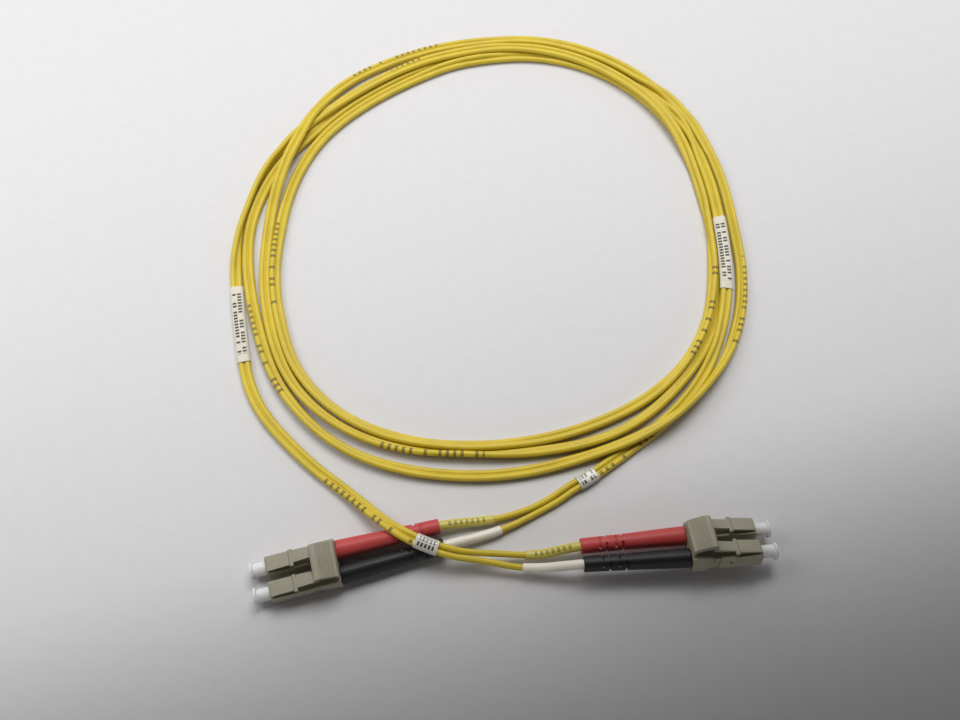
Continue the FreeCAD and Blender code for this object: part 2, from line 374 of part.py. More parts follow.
def rear_body(y):
    half = BODY_HALF
    ledge_back, ledge_front, ledge_half = -12.25, -11.45, 1.1
    proud_half = half + 0.12
    nose_front, tail_back, bore_step = -9.2, -20.2, -13.0
    body = round_long_edges(block(-BODY_END, -HOUSING_LEN - 0.06, y, half, half), 0.25)
    # ledges on all four sides, between the housing and the clip
    body = body.fuse(block(ledge_back, ledge_front, y, ledge_half, proud_half))
    body = body.fuse(block(ledge_back, ledge_front, y, proud_half, ledge_half))
    # nose inside the housing, with the snap ears
    body = body.fuse(rod(1.66, -HOUSING_LEN - 0.5, nose_front, y))
    body = body.fuse(block(SNAP_BACK + 0.1, SNAP_FRONT - 0.1, y, SNAP_HALF_W - 0.1, half))
    # stepped tail
    body = body.fuse(rod(1.50, -17.9, -17.0, y))
    body = body.fuse(rod(1.00, tail_back, -17.5, y))
    body = body.cut(rod(0.95, bore_step, nose_front + PAST, y))
    body = body.cut(rod(0.55, tail_back - PAST, bore_step + PAST, y))
    return body.removeSplitter()


def guide_tube(y):
    return tube(0.49, 0.37, -19.9, -13.2, y)


def crimp_sleeve(y):
    back, front, outer_r, edge_r = -24.4, -18.05, 1.40, 1.30
    bore_step = -20.5
    sleeve = turned([(back, 0), (back, edge_r), (back + 0.2, outer_r), (front - 0.2, outer_r),
                     (front, edge_r), (front, 0)], y)
    sleeve = sleeve.cut(rod(1.07, bore_step, front + PAST, y))
    sleeve = sleeve.cut(rod(0.90, back - PAST, bore_step + PAST, y))
    # two crimp bands
    for x in (-23.3, -21.9):
        sleeve = sleeve.cut(tube(2.0, 1.33, x - 0.35, x + 0.35, y))
    return sleeve


def boot(y):
    front = -BODY_END - 0.05
    back = front - 26.0
    front_r, back_r = 2.40, 1.92
    bore_step = -25.5
    slot_width, bridge_half, reach = 0.62, 0.75, 3.0
    lean = 1.3          # degrees the boot leans towards the other one
    shell = turned([(back, 0), (back, back_r - 0.12), (back + 0.12, back_r),
                    (back + 11.5, back_r + 0.10), (front - 5.0, front_r - 0.10),
                    (front - 0.25, front_r), (front, front_r - 0.12), (front, 0)], y)
    shell = shell.cut(rod(1.62, bore_step, front + PAST, y))
    shell = shell.cut(rod(1.38, back - PAST, bore_step + PAST, y))
    # part-ring flex slots; the bridges are in turn at the sides and at top and bottom
    for i, offset in enumerate((4.3, 6.0, 8.3, 10.0)):
        x = back + offset
        half_y, half_z = (bridge_half, reach) if i % 2 else (reach, bridge_half)
        bridge = block(x - PAST, x + slot_width + PAST, y, half_y, half_z)
        shell = shell.cut(tube(reach, 1.55, x, x + slot_width, y).cut(bridge))
    shell.rotate(Vector(-BODY_END, y, 0), Z_AXIS, lean if y > 0 else -lean)
    return shell


def dust_cap(y):
    back, tip, rim_r = -3.3, 3.95, 2.12
    cap = turned([(back, 0), (back, CAP_R - 0.12), (back + 0.2, CAP_R), (3.25, CAP_R),
                  (3.4, rim_r - 0.06), (3.46, rim_r), (tip - 0.1, rim_r), (tip, rim_r - 0.12),
                  (tip, 0)], y)
    cap = cap.cut(rod(FERRULE_BORE_R, back - PAST, 2.75, y))
    # shallow dish in the cap's end
    return cap.cut(turned([(3.55, 0), (3.55, 1.0), (4.0, 1.25), (4.0, 0)], y))


PLUG_PARTS = (front_housing, latch_lever, ferrule, ferrule_flange, ferrule_spring,
              rear_body, guide_tube, crimp_sleeve, boot, dust_cap)


# ------------------------------------------------- parts shared by both plugs
def duplex_clip():
    back, front, half_width = -BODY_END + 0.05, -12.4, 5.60
    clip = box(back, front, -half_width, half_width, -PLUG_HALF, CLIP_TOP)
    clip = round_long_edges(clip, 0.55, above=0)
    # channels for the plug bodies, open at the bottom
    gap = BODY_HALF + 0.06
    for y in (-PITCH / 2, PITCH / 2):
        clip = clip.cut(box(back - PAST, front + PAST, y - gap, y + gap, -PLUG_HALF - PAST, gap))
    # finger notch at each side's lower front corner
    for y in (-half_width, half_width):
        clip = clip.cut(box(front - 0.9, front + PAST, y - 0.5, y + 0.5,
                            -PLUG_HALF - PAST, -1.35))
    # ridge that carries the trigger
    clip = clip.fuse(box(TRIGGER_HINGE_X - 0.35, TRIGGER_HINGE_X + 0.45, -TRIGGER_HALF_W,
                         TRIGGER_HALF_W, CLIP_TOP - 0.1, TRIGGER_HINGE_Z - 0.46))
    return clip.removeSplitter()


def clip_trigger():
    # (x, z) outline: along the underside to the back, then over the ribs to the lip
    under = [(-11.38, 5.12), (-12.3, 5.20), (-13.6, 4.98), (-15.1, 4.52), (-16.15, 4.12),
             (-16.38, 3.85), (-16.38, TRIGGER_HINGE_Z)]
    back = [(TRIGGER_HINGE_X - 0.37, TRIGGER_HINGE_Z), (-17.15, 4.15), (-17.12, 4.60),
            (-16.95, 4.88), (-16.75, 4.98)]
    lip = [(-12.60, 6.52), (-12.10, 6.53), (-11.65, 6.33), (-11.30, 5.92), (-11.15, 5.45),
           (-11.20, 5.22)]
    ribs, ribs_back, ribs_front = 6, -16.45, -12.70
    # one rib: (share of the rib step, height above the crown)
    rib = [(0, 0), (0.10, 0.17), (0.58, 0.19), (0.72, 0)]
    step = (ribs_front - ribs_back) / ribs

    def crown(x):
        share = (x - ribs_back) / (ribs_front - ribs_back)
        return 5.02 + 1.42 * share + 0.30 * share * (1 - share)

    top = []
    for i in range(ribs):
        for share, rise in rib:
            x = ribs_back + (i + share) * step
            top.append((x, crown(x) + rise))
    trigger = extrude_y(under + back + top + lip, 0, TRIGGER_HALF_W)
    hinge = pin(0.40, TRIGGER_HINGE_X, 0, TRIGGER_HINGE_Z, TRIGGER_HALF_W)
    return trigger.fuse(hinge).removeSplitter()


# ------------------------------------------------------------ cable geometry
# The cord is laid out as short straight lengths with mitred corners, which
# keeps each tube exact and nests them without overlap. Corners are chosen
# from stations STEP apart in the path parameter.
STEP = 0.5
MAX_RUN = 6             # most stations one straight length may span

# Chord tolerances in the order they are tried, until a valid tube results
JACKET_TOLERANCES = (0.020, 0.024, 0.028, 0.016, 0.032, 0.012, 0.036)
YARN_TOLERANCES = (0.012, 0.02, 0.028, 0.036, 0.044)


def spline(poles):
    spans = len(poles) - 3
    curve = Part.BSplineCurve()
    curve.buildFromPolesMultsKnots([Vector(*pole) + SHIFT for pole in poles],
                                   [4] + [1] * (spans - 1) + [4],
                                   [float(i) for i in range(spans + 1)], False, 3)
    return curve


def mended(shape):
    if not shape.isValid():
        # guards against a repair that the kernel gives up on; callers test validity
        try:
            shape.fix(0.001, 0.001, 0.01)
        except RuntimeError:
            pass
    return shape


def sweep(points, radius, solid):
    """Circle swept along a polyline with mitred corners."""
    spine = Part.makePolygon(points)
    ring = Part.Wire([Part.makeCircle(radius, points[0], points[1] - points[0])])
    return spine.makePipeShell([ring], solid, False, 1)


def pipe(points, radius):
    return mended(sweep(points, radius, True))


def solid_from(faces):
    shell = Part.makeShell(faces)
    shell.sewShape()
    if shell.ShapeType != "Shell":
        shell = shell.Shells[0]
    solid = Part.makeSolid(shell)
    if solid.Volume < 0:
        solid.reverse()
    return solid


def hollow(points, outer_r, inner_r):
    """Round tube along a polyline: two mitred skins and two ring-shaped ends."""
    faces, rims = [], [[], []]
    for radius in (outer_r, inner_r):
        skin = sweep(points, radius, False)
        faces += skin.Faces
        for i, point in enumerate((points[0], points[-1])):
            rim = [e for e in skin.Edges if e.Closed and (e.CenterOfMass - point).Length < 0.01]
            rims[i].append(Part.Wire([rim[0]]))
    for outer, inner in rims:
        faces.append(Part.Face(outer).cut(Part.Face(inner)).Faces[0])
    return mended(solid_from(faces))


def thinned(points, tolerance):
    """Indices of the points whose chords stay within tolerance of the others."""
    kept, i = [0], 0
    while i < len(points) - 1:
        j = i + 1
        while j + 1 < len(points) and j + 1 - i <= MAX_RUN:
            chord = points[j + 1] - points[i]
            chord = chord * (1.0 / chord.Length)
            offsets = [points[k] - points[i] for k in range(i + 1, j + 1)]
            if max((off - chord * off.dot(chord)).Length for off in offsets) > tolerance:
                break
            j += 1
        kept.append(j)
        i = j
    return kept


def cross_axes(along, towards):
    """Unit vector square to along on the side of towards, and the one square to both."""
    across = towards - along * towards.dot(along)
    across.normalize()
    return across, along.cross(across)


def zipcord_jacket(curve, stations):
    """Jacket, with the path parameters and points of its corners."""
    for tolerance in JACKET_TOLERANCES:
        kept = [stations[i] for i in thinned([curve.value(u) for u in stations], tolerance)]
        points = [curve.value(u) for u in kept]
        if not pipe(points, JACKET_R).isValid():
            continue
        jacket = hollow(points, JACKET_R, LUMEN_R)
        if jacket.Solids and jacket.isValid():
            break
    return jacket, kept, points


def core(points, colour, front, outer_r, inner_r=0):
    """Fibre or buffer that runs on into both plugs, to x = front in each."""
    tips = [end_frame(end).multVec(Vector(front, plug_y(end, colour), 0))
            for end in (ENDS["a"], ENDS["b"])]
    # the first lengths are in line with the plug, so one long straight replaces them
    for skip in (1, 2, 3, 4):
        line = [tips[0]] + points[skip:-skip] + [tips[1]]
        strand = hollow(line, outer_r, inner_r) if inner_r else pipe(line, outer_r)
        if strand.isValid():
            break
    return strand


def aramid_yarn(curve, kept, red, black):
    """Strand beside the buffer, offset square to the plane of the two halves."""
    points = []
    for u in kept[1:-1]:
        normal = cross_axes(curve.tangent(u)[0], black.value(u) - red.value(u))[1]
        points.append(curve.value(u) + normal * YARN_OFFSET)
    for tolerance in YARN_TOLERANCES:
        strand = pipe([points[i] for i in thinned(points, tolerance)], YARN_R)
        if strand.isValid():
            break
    return strand


def heat_shrink(points, end):
    """Sleeve from inside the boot backwards; points start at that end."""
    to_plug = end_frame(end).inverse()
    chosen, run = [], 0.0
    for point in points:
        if to_plug.multVec(point).x < SHRINK_FROM:
            if chosen:
                run += (point - chosen[-1]).Length
            chosen.append(point)
            if run > SHRINK_LEN:
                break
    return hollow(chosen, SHRINK_OUT_R, SHRINK_IN_R)


def stadium_row(centre, across, normal, radius, half):
    """Points of a flattened ring: two half circles joined by straight sides."""
    row = []
    for side, start in ((1, -90), (-1, 90)):
        for i in range(7):
            angle = math.radians(start + 30 * i)
            row.append(centre + across * (side * half + radius * math.cos(angle))
                       + normal * (radius * math.sin(angle)))
    return row


def facets(outer, inner):
    """Closed tube of triangles between rows of points, outer and inner."""
    pairs = list(zip(outer, outer[1:])) + list(zip(inner, inner[1:]))
    pairs += [(outer[0], inner[0]), (outer[-1], inner[-1])]
    faces = []
    for row, following in pairs:
        for i in range(len(row)):
            j = (i + 1) % len(row)
            faces.append(polygon_face([row[i], row[j], following[j]]))
            faces.append(polygon_face([row[i], following[j], following[i]]))
    return solid_from(faces)


def wrap(red, black, start, stop, outer_r, inner_r):
    """Flattened sleeve round both halves of the zipcord."""
    outer, inner = [], []
    for i in range(round((stop - start) / STEP) + 1):
        u = start + i * STEP
        red_point, black_point = red.value(u), black.value(u)
        gap = black_point - red_point
        along = red.tangent(u)[0] + black.tangent(u)[0]
        along.normalize()
        across, normal = cross_axes(along, gap)
        centre = (red_point + black_point) * 0.5
        for rows, radius in ((outer, outer_r), (inner, inner_r)):
            rows.append(stadium_row(centre, across, normal, radius, gap.Length / 2))
    return facets(outer, inner)


# ------------------------------------------------------------------ assembly
def save_ends():
    for letter, end in ENDS.items():
        for colour in COLOUR_SIDE:
            for make in PLUG_PARTS:
                node = "%s_%s_%s" % (make.__name__, colour, letter)
                save(node, place(make(plug_y(end, colour)), end))
        save("duplex_clip_" + letter, place(duplex_clip(), end))
        save("clip_trigger_" + letter, place(clip_trigger(), end))


def save_cable():
    red, black = spline(RED_POLES), spline(BLACK_POLES)
    last = len(RED_POLES) - 3.0
    stations = [i * STEP for i in range(int(last / STEP))] + [last]
    for colour, curve in (("red", red), ("black", black)):
        jacket, kept, points = zipcord_jacket(curve, stations)
        save("zipcord_jacket_" + colour, jacket)
        save("glass_fiber_" + colour, core(points, colour, FIBER_FRONT, FIBER_R))
        save("tight_buffer_" + colour,
             core(points, colour, BUFFER_FRONT, BUFFER_R, BUFFER_BORE_R))
        save("aramid_yarn_" + colour, aramid_yarn(curve, kept, red, black))
        save("heat_shrink_%s_a" % colour, heat_shrink(points, ENDS["a"]))
        save("heat_shrink_%s_b" % colour, heat_shrink(points[::-1], ENDS["b"]))
    for node, start, stop, outer_r, inner_r in WRAPS:
        save(node, wrap(red, black, start, stop, outer_r, inner_r))


os.makedirs("parts", exist_ok=True)
save_ends()
save_cable()
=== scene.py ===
"""Coiled duplex patch cord lying on a table.

The plugs, clips and boots come from the loaded frame. The cord, its heat-shrink sleeves, wrap
labels and marker sleeves are built here along the cord's path. The coil lies flat in XY with +Z
up. Cord lengths are in millimetres; floor, lights and camera are in metres.
"""
import json
import math

import bmesh
import bpy
import numpy as np
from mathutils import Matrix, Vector


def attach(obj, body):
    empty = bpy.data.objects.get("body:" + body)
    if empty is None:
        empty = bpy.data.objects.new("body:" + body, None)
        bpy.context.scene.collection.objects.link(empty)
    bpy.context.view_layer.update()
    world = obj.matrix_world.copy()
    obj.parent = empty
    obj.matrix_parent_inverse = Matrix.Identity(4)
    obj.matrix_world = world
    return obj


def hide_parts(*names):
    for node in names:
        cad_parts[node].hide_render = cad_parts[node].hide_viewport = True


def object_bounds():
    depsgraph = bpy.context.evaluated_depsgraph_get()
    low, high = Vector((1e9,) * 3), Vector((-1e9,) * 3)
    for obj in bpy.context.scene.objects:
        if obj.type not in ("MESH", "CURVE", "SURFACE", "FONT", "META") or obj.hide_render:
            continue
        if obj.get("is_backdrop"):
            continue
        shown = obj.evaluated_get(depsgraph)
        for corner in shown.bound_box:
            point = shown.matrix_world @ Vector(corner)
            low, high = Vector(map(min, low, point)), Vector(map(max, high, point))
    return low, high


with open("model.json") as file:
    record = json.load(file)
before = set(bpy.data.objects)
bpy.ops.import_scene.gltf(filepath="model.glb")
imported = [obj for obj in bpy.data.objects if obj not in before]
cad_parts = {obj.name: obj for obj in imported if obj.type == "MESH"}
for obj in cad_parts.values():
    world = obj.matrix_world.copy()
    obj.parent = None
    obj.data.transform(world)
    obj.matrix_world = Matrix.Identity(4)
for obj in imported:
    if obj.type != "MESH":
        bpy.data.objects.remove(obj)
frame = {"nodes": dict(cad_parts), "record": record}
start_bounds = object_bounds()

MM = 0.001

# From the coordinates of the tables below to the scene, in mm.
SHIFT = np.array((-2.525, -129.920, 0.169))

# Connector ends before SHIFT: position in mm, yaw and roll in degrees.
ENDS = {"a": {"pos": (-51.4, 44.7, 2.45), "yaw": 194.6, "roll": 0.0},
        "b": {"pos": (68.1, 53.9, 4.0606), "yaw": 4.6, "roll": -18.0}}

# Spline control points (x, y, z) in mm along the centre of each half of the cord, end a to end b.
LOBE_RED = [
    (-32.156, 52.942, 2.450), (-30.268, 53.425, 2.450), (-26.493, 54.391, 2.449), (-20.749, 55.496, 2.457),
    (-15.071, 56.874, 2.420), (-9.403, 58.393, 2.556), (-3.652, 59.199, 1.540), (2.163, 59.789, 1.309),
    (7.845, 61.241, 1.044), (13.322, 63.148, 0.813), (18.523, 66.068, 0.745), (22.842, 69.113, 1.248),
    (26.824, 71.328, 1.206), (31.949, 74.794, 0.828), (36.754, 78.351, 0.843), (41.634, 81.883, 0.839),
    (46.343, 85.531, 0.841), (50.764, 89.492, 0.838), (54.853, 93.805, 0.848), (58.504, 98.473, 0.811),
    (61.642, 103.545, 0.949), (64.335, 108.577, 2.204), (66.162, 114.300, 2.475), (67.674, 119.997, 2.556),
    (68.678, 125.820, 2.935), (69.190, 131.725, 2.728), (69.492, 137.677, 2.626), (69.333, 143.608, 2.802),
    (69.086, 149.570, 2.846), (68.775, 155.530, 2.373), (68.133, 161.395, 2.417), (67.118, 167.164, 2.300),
    (65.805, 172.906, 2.453), (64.925, 178.964, 2.687), (62.738, 184.444, 1.698), (60.217, 189.737, 0.278),
    (56.390, 194.065, 2.229), (52.706, 199.133, 1.409), (48.551, 203.242, 0.688), (43.771, 206.861, 0.881),
    (38.761, 210.006, 0.829), (33.431, 212.574, 0.843), (27.853, 214.490, 0.839), (22.086, 215.684, 0.840),
    (16.191, 216.225, 0.840), (10.264, 216.173, 0.840), (4.356, 215.683, 0.840), (-1.461, 214.711, 0.840),
    (-7.160, 213.115, 0.840), (-12.721, 211.097, 0.840), (-18.117, 208.575, 0.840), (-23.391, 205.822, 0.840),
    (-28.443, 202.625, 0.840), (-33.344, 199.161, 0.841), (-38.086, 195.496, 0.834), (-42.561, 191.529, 0.861),
    (-46.778, 187.301, 0.763), (-50.335, 182.502, 1.129), (-54.351, 177.867, 1.008), (-57.946, 173.363, 0.795),
    (-60.914, 168.237, 0.852), (-63.259, 162.864, 0.837), (-65.030, 157.201, 0.841), (-66.321, 151.436, 0.840),
    (-66.887, 145.603, 0.840), (-66.551, 139.711, 0.840), (-65.855, 133.815, 0.840), (-64.672, 127.977, 0.840),
    (-63.373, 122.235, 0.840), (-61.597, 116.527, 0.840), (-59.703, 110.876, 0.840), (-57.578, 105.308, 0.840),
    (-55.102, 99.953, 0.840), (-51.945, 94.973, 0.840), (-48.279, 90.277, 0.840), (-44.211, 85.966, 0.840),
    (-39.623, 82.219, 0.840), (-34.583, 79.125, 0.840), (-29.184, 76.712, 0.840), (-23.534, 74.922, 0.840),
    (-17.732, 73.657, 0.840), (-11.841, 72.850, 0.840), (-5.900, 72.423, 0.840), (0.050, 72.346, 0.840),
    (5.970, 72.731, 0.841), (11.864, 73.558, 0.838), (17.690, 74.774, 0.848), (23.460, 76.338, 0.811),
    (29.253, 78.048, 0.947), (34.953, 79.878, 1.571), (40.436, 82.038, 2.410), (45.773, 84.551, 2.851),
    (50.865, 87.517, 2.915), (55.515, 91.155, 2.700), (59.735, 95.315, 2.190), (63.513, 99.873, 1.467),
    (66.615, 104.940, 0.853), (69.023, 110.365, 0.837), (71.101, 115.873, 0.841), (72.643, 121.555, 0.840),
    (73.638, 127.388, 0.840), (74.180, 133.285, 0.840), (74.199, 139.185, 0.840), (73.794, 145.129, 0.840),
    (73.378, 151.129, 0.840), (72.972, 157.094, 0.840), (72.255, 162.998, 0.840), (71.126, 168.862, 0.840),
    (69.684, 174.693, 0.838), (67.681, 180.392, 0.846), (65.819, 186.169, 0.818), (62.404, 191.181, 0.922),
    (59.300, 196.304, 0.533), (54.921, 199.571, 2.938), (50.008, 203.211, 2.364), (45.477, 206.972, 2.470),
    (40.518, 210.222, 2.450), (35.288, 212.983, 2.473), (29.791, 215.236, 2.525), (24.107, 217.011, 2.596),
    (18.308, 218.266, 2.538), (12.442, 218.799, 2.358), (6.514, 218.675, 2.245), (0.570, 218.087, 2.019),
    (-5.357, 217.280, 1.903), (-11.207, 216.185, 1.751), (-16.966, 214.709, 1.472), (-22.607, 212.835, 1.190),
    (-28.093, 210.555, 0.999), (-33.373, 207.825, 0.935), (-38.326, 204.570, 1.020), (-42.756, 200.709, 1.299),
    (-46.493, 196.167, 1.773), (-49.602, 191.200, 2.830), (-52.014, 185.816, 4.173), (-54.047, 180.194, 3.750),
    (-56.028, 174.647, 4.046), (-57.759, 168.964, 3.937), (-59.177, 163.239, 3.249), (-60.371, 157.511, 2.017),
    (-61.040, 151.729, 0.949), (-61.295, 145.732, 0.811), (-61.231, 139.708, 0.848), (-61.032, 133.728, 0.838),
    (-60.443, 127.832, 0.841), (-59.338, 122.019, 0.840), (-57.838, 116.254, 0.840), (-56.046, 110.583, 0.840),
    (-53.910, 105.035, 0.840), (-51.299, 99.770, 0.840), (-47.850, 95.022, 0.840), (-43.695, 90.813, 0.840),
    (-39.030, 87.169, 0.840), (-33.932, 84.147, 0.840), (-28.497, 81.803, 0.840), (-22.809, 80.082, 0.840),
    (-16.964, 78.912, 0.840), (-11.033, 78.118, 0.840), (-5.071, 77.589, 0.840), (0.910, 77.623, 0.840),
    (6.876, 78.043, 0.840), (12.822, 78.673, 0.840), (18.777, 79.414, 0.840), (24.643, 80.393, 0.840),
    (30.401, 81.866, 0.840), (35.930, 83.958, 0.840), (41.101, 86.811, 0.840), (45.839, 90.354, 0.840),
    (50.141, 94.439, 0.840), (54.131, 98.843, 0.840), (57.748, 103.544, 0.840), (60.760, 108.697, 0.840),
    (63.523, 113.890, 0.840), (65.514, 119.390, 0.840), (66.968, 125.106, 0.840), (68.048, 130.948, 0.840),
    (68.607, 136.837, 0.840), (68.891, 142.807, 0.840), (68.794, 148.715, 0.840), (68.254, 154.649, 0.840),
    (67.459, 160.557, 0.841), (66.409, 166.445, 0.837), (65.016, 172.174, 0.850), (63.020, 177.691, 0.803),
    (59.969, 182.609, 1.066), (57.228, 187.815, 1.021), (53.702, 192.715, 1.087), (49.890, 197.173, 0.826),
    (45.564, 201.274, 0.844), (40.759, 204.693, 0.839), (35.607, 207.618, 0.840), (30.182, 209.958, 0.840),
    (24.525, 211.610, 0.840), (18.705, 212.597, 0.840), (12.785, 212.888, 0.840), (6.901, 212.421, 0.840),
    (0.948, 211.625, 0.840), (-4.872, 210.461, 0.840), (-10.392, 208.642, 0.840), (-15.709, 205.987, 0.840),
    (-20.951, 203.152, 0.840), (-26.041, 199.999, 0.840), (-30.978, 196.656, 0.840), (-35.690, 193.006, 0.840),
    (-40.159, 189.088, 0.840), (-44.295, 184.863, 0.840), (-47.919, 180.223, 0.840), (-50.929, 175.160, 0.840),
    (-53.339, 169.767, 0.840), (-55.198, 164.141, 0.840), (-56.501, 158.365, 0.840), (-57.395, 152.464, 0.840),
    (-57.826, 146.483, 0.840), (-58.184, 140.393, 0.840), (-58.246, 134.484, 0.840), (-57.677, 128.624, 0.840),
    (-56.671, 122.835, 0.840), (-55.170, 117.145, 0.840), (-53.416, 111.478, 0.840), (-51.344, 105.972, 0.840),
    (-48.495, 100.841, 0.840), (-44.852, 96.194, 0.840), (-40.599, 92.084, 0.840), (-35.822, 88.601, 0.840),
    (-30.598, 85.846, 0.840), (-25.057, 83.716, 0.840), (-19.340, 82.059, 0.840), (-13.505, 80.952, 0.840),
    (-7.589, 80.506, 0.840), (-1.626, 80.439, 0.840), (4.315, 80.641, 0.840), (10.216, 81.374, 0.840),
    (16.093, 82.424, 0.840), (21.866, 83.822, 0.840), (27.514, 85.674, 0.840), (33.060, 87.856, 0.840),
    (38.413, 90.401, 0.840), (43.522, 93.401, 0.840), (48.285, 96.857, 0.840), (52.636, 100.799, 0.840),
    (56.534, 105.241, 0.840), (59.722, 110.233, 0.840), (62.336, 115.582, 0.840), (64.250, 121.198, 0.840),
    (65.427, 127.045, 0.840), (66.203, 132.969, 0.840), (66.854, 138.880, 0.840), (67.225, 144.804, 0.840),
    (66.926, 150.816, 0.840), (66.024, 156.769, 0.842), (65.231, 162.776, 0.834), (64.199, 168.733, 0.863),
    (62.461, 174.450, 1.433), (60.409, 179.901, 2.301), (58.016, 185.332, 2.752), (55.124, 190.494, 2.852),
    (51.583, 195.254, 2.652), (47.513, 199.550, 2.558), (42.992, 203.366, 2.586), (38.148, 206.829, 2.521),
    (33.036, 209.822, 2.346), (27.629, 212.127, 2.557), (21.980, 213.775, 2.582), (16.159, 214.865, 2.577),
    (10.276, 215.332, 2.642), (4.351, 215.139, 2.545), (-1.501, 214.212, 2.491), (-7.288, 212.821, 2.562),
    (-13.061, 211.157, 2.620), (-18.632, 209.322, 2.316), (-23.885, 206.646, 2.435), (-28.992, 203.641, 2.488),
    (-33.897, 200.279, 2.514), (-38.646, 196.686, 2.526), (-43.226, 192.870, 2.562), (-47.673, 188.975, 2.594),
    (-52.013, 184.821, 2.446), (-56.219, 180.929, 1.050), (-60.209, 176.265, 1.083), (-63.550, 171.246, 0.850),
    (-66.133, 165.730, 0.837), (-68.120, 160.025, 0.840), (-69.582, 154.125, 0.841), (-70.279, 148.099, 0.837),
    (-70.193, 142.093, 0.853), (-69.610, 136.208, 0.792), (-68.727, 130.257, 1.020), (-67.758, 124.331, 1.133),
    (-66.648, 118.428, 1.108), (-65.412, 112.598, 1.094), (-64.163, 106.754, 1.176), (-62.835, 101.048, 0.860),
    (-60.813, 95.600, 0.835), (-57.927, 90.511, 0.842), (-54.289, 85.900, 0.839), (-50.145, 81.631, 0.841),
    (-45.828, 77.492, 0.835), (-41.357, 73.599, 0.858), (-36.573, 70.096, 0.774), (-31.722, 66.464, 1.085),
    (-27.193, 62.540, 2.231), (-22.717, 58.740, 3.865), (-18.098, 55.708, 6.332), (-12.801, 53.311, 5.504),
    (-7.129, 51.683, 5.389), (-3.899, 51.237, 3.928), (2.636, 51.098, 3.075), (8.240, 50.989, 2.207),
    (14.155, 50.850, 1.591), (19.814, 52.111, 2.406), (25.441, 52.968, 3.543), (31.319, 53.512, 3.159),
    (36.990, 54.000, 3.235), (43.250, 54.955, 3.067), (45.902, 55.120, 3.086), (47.228, 55.202, 3.095),
]
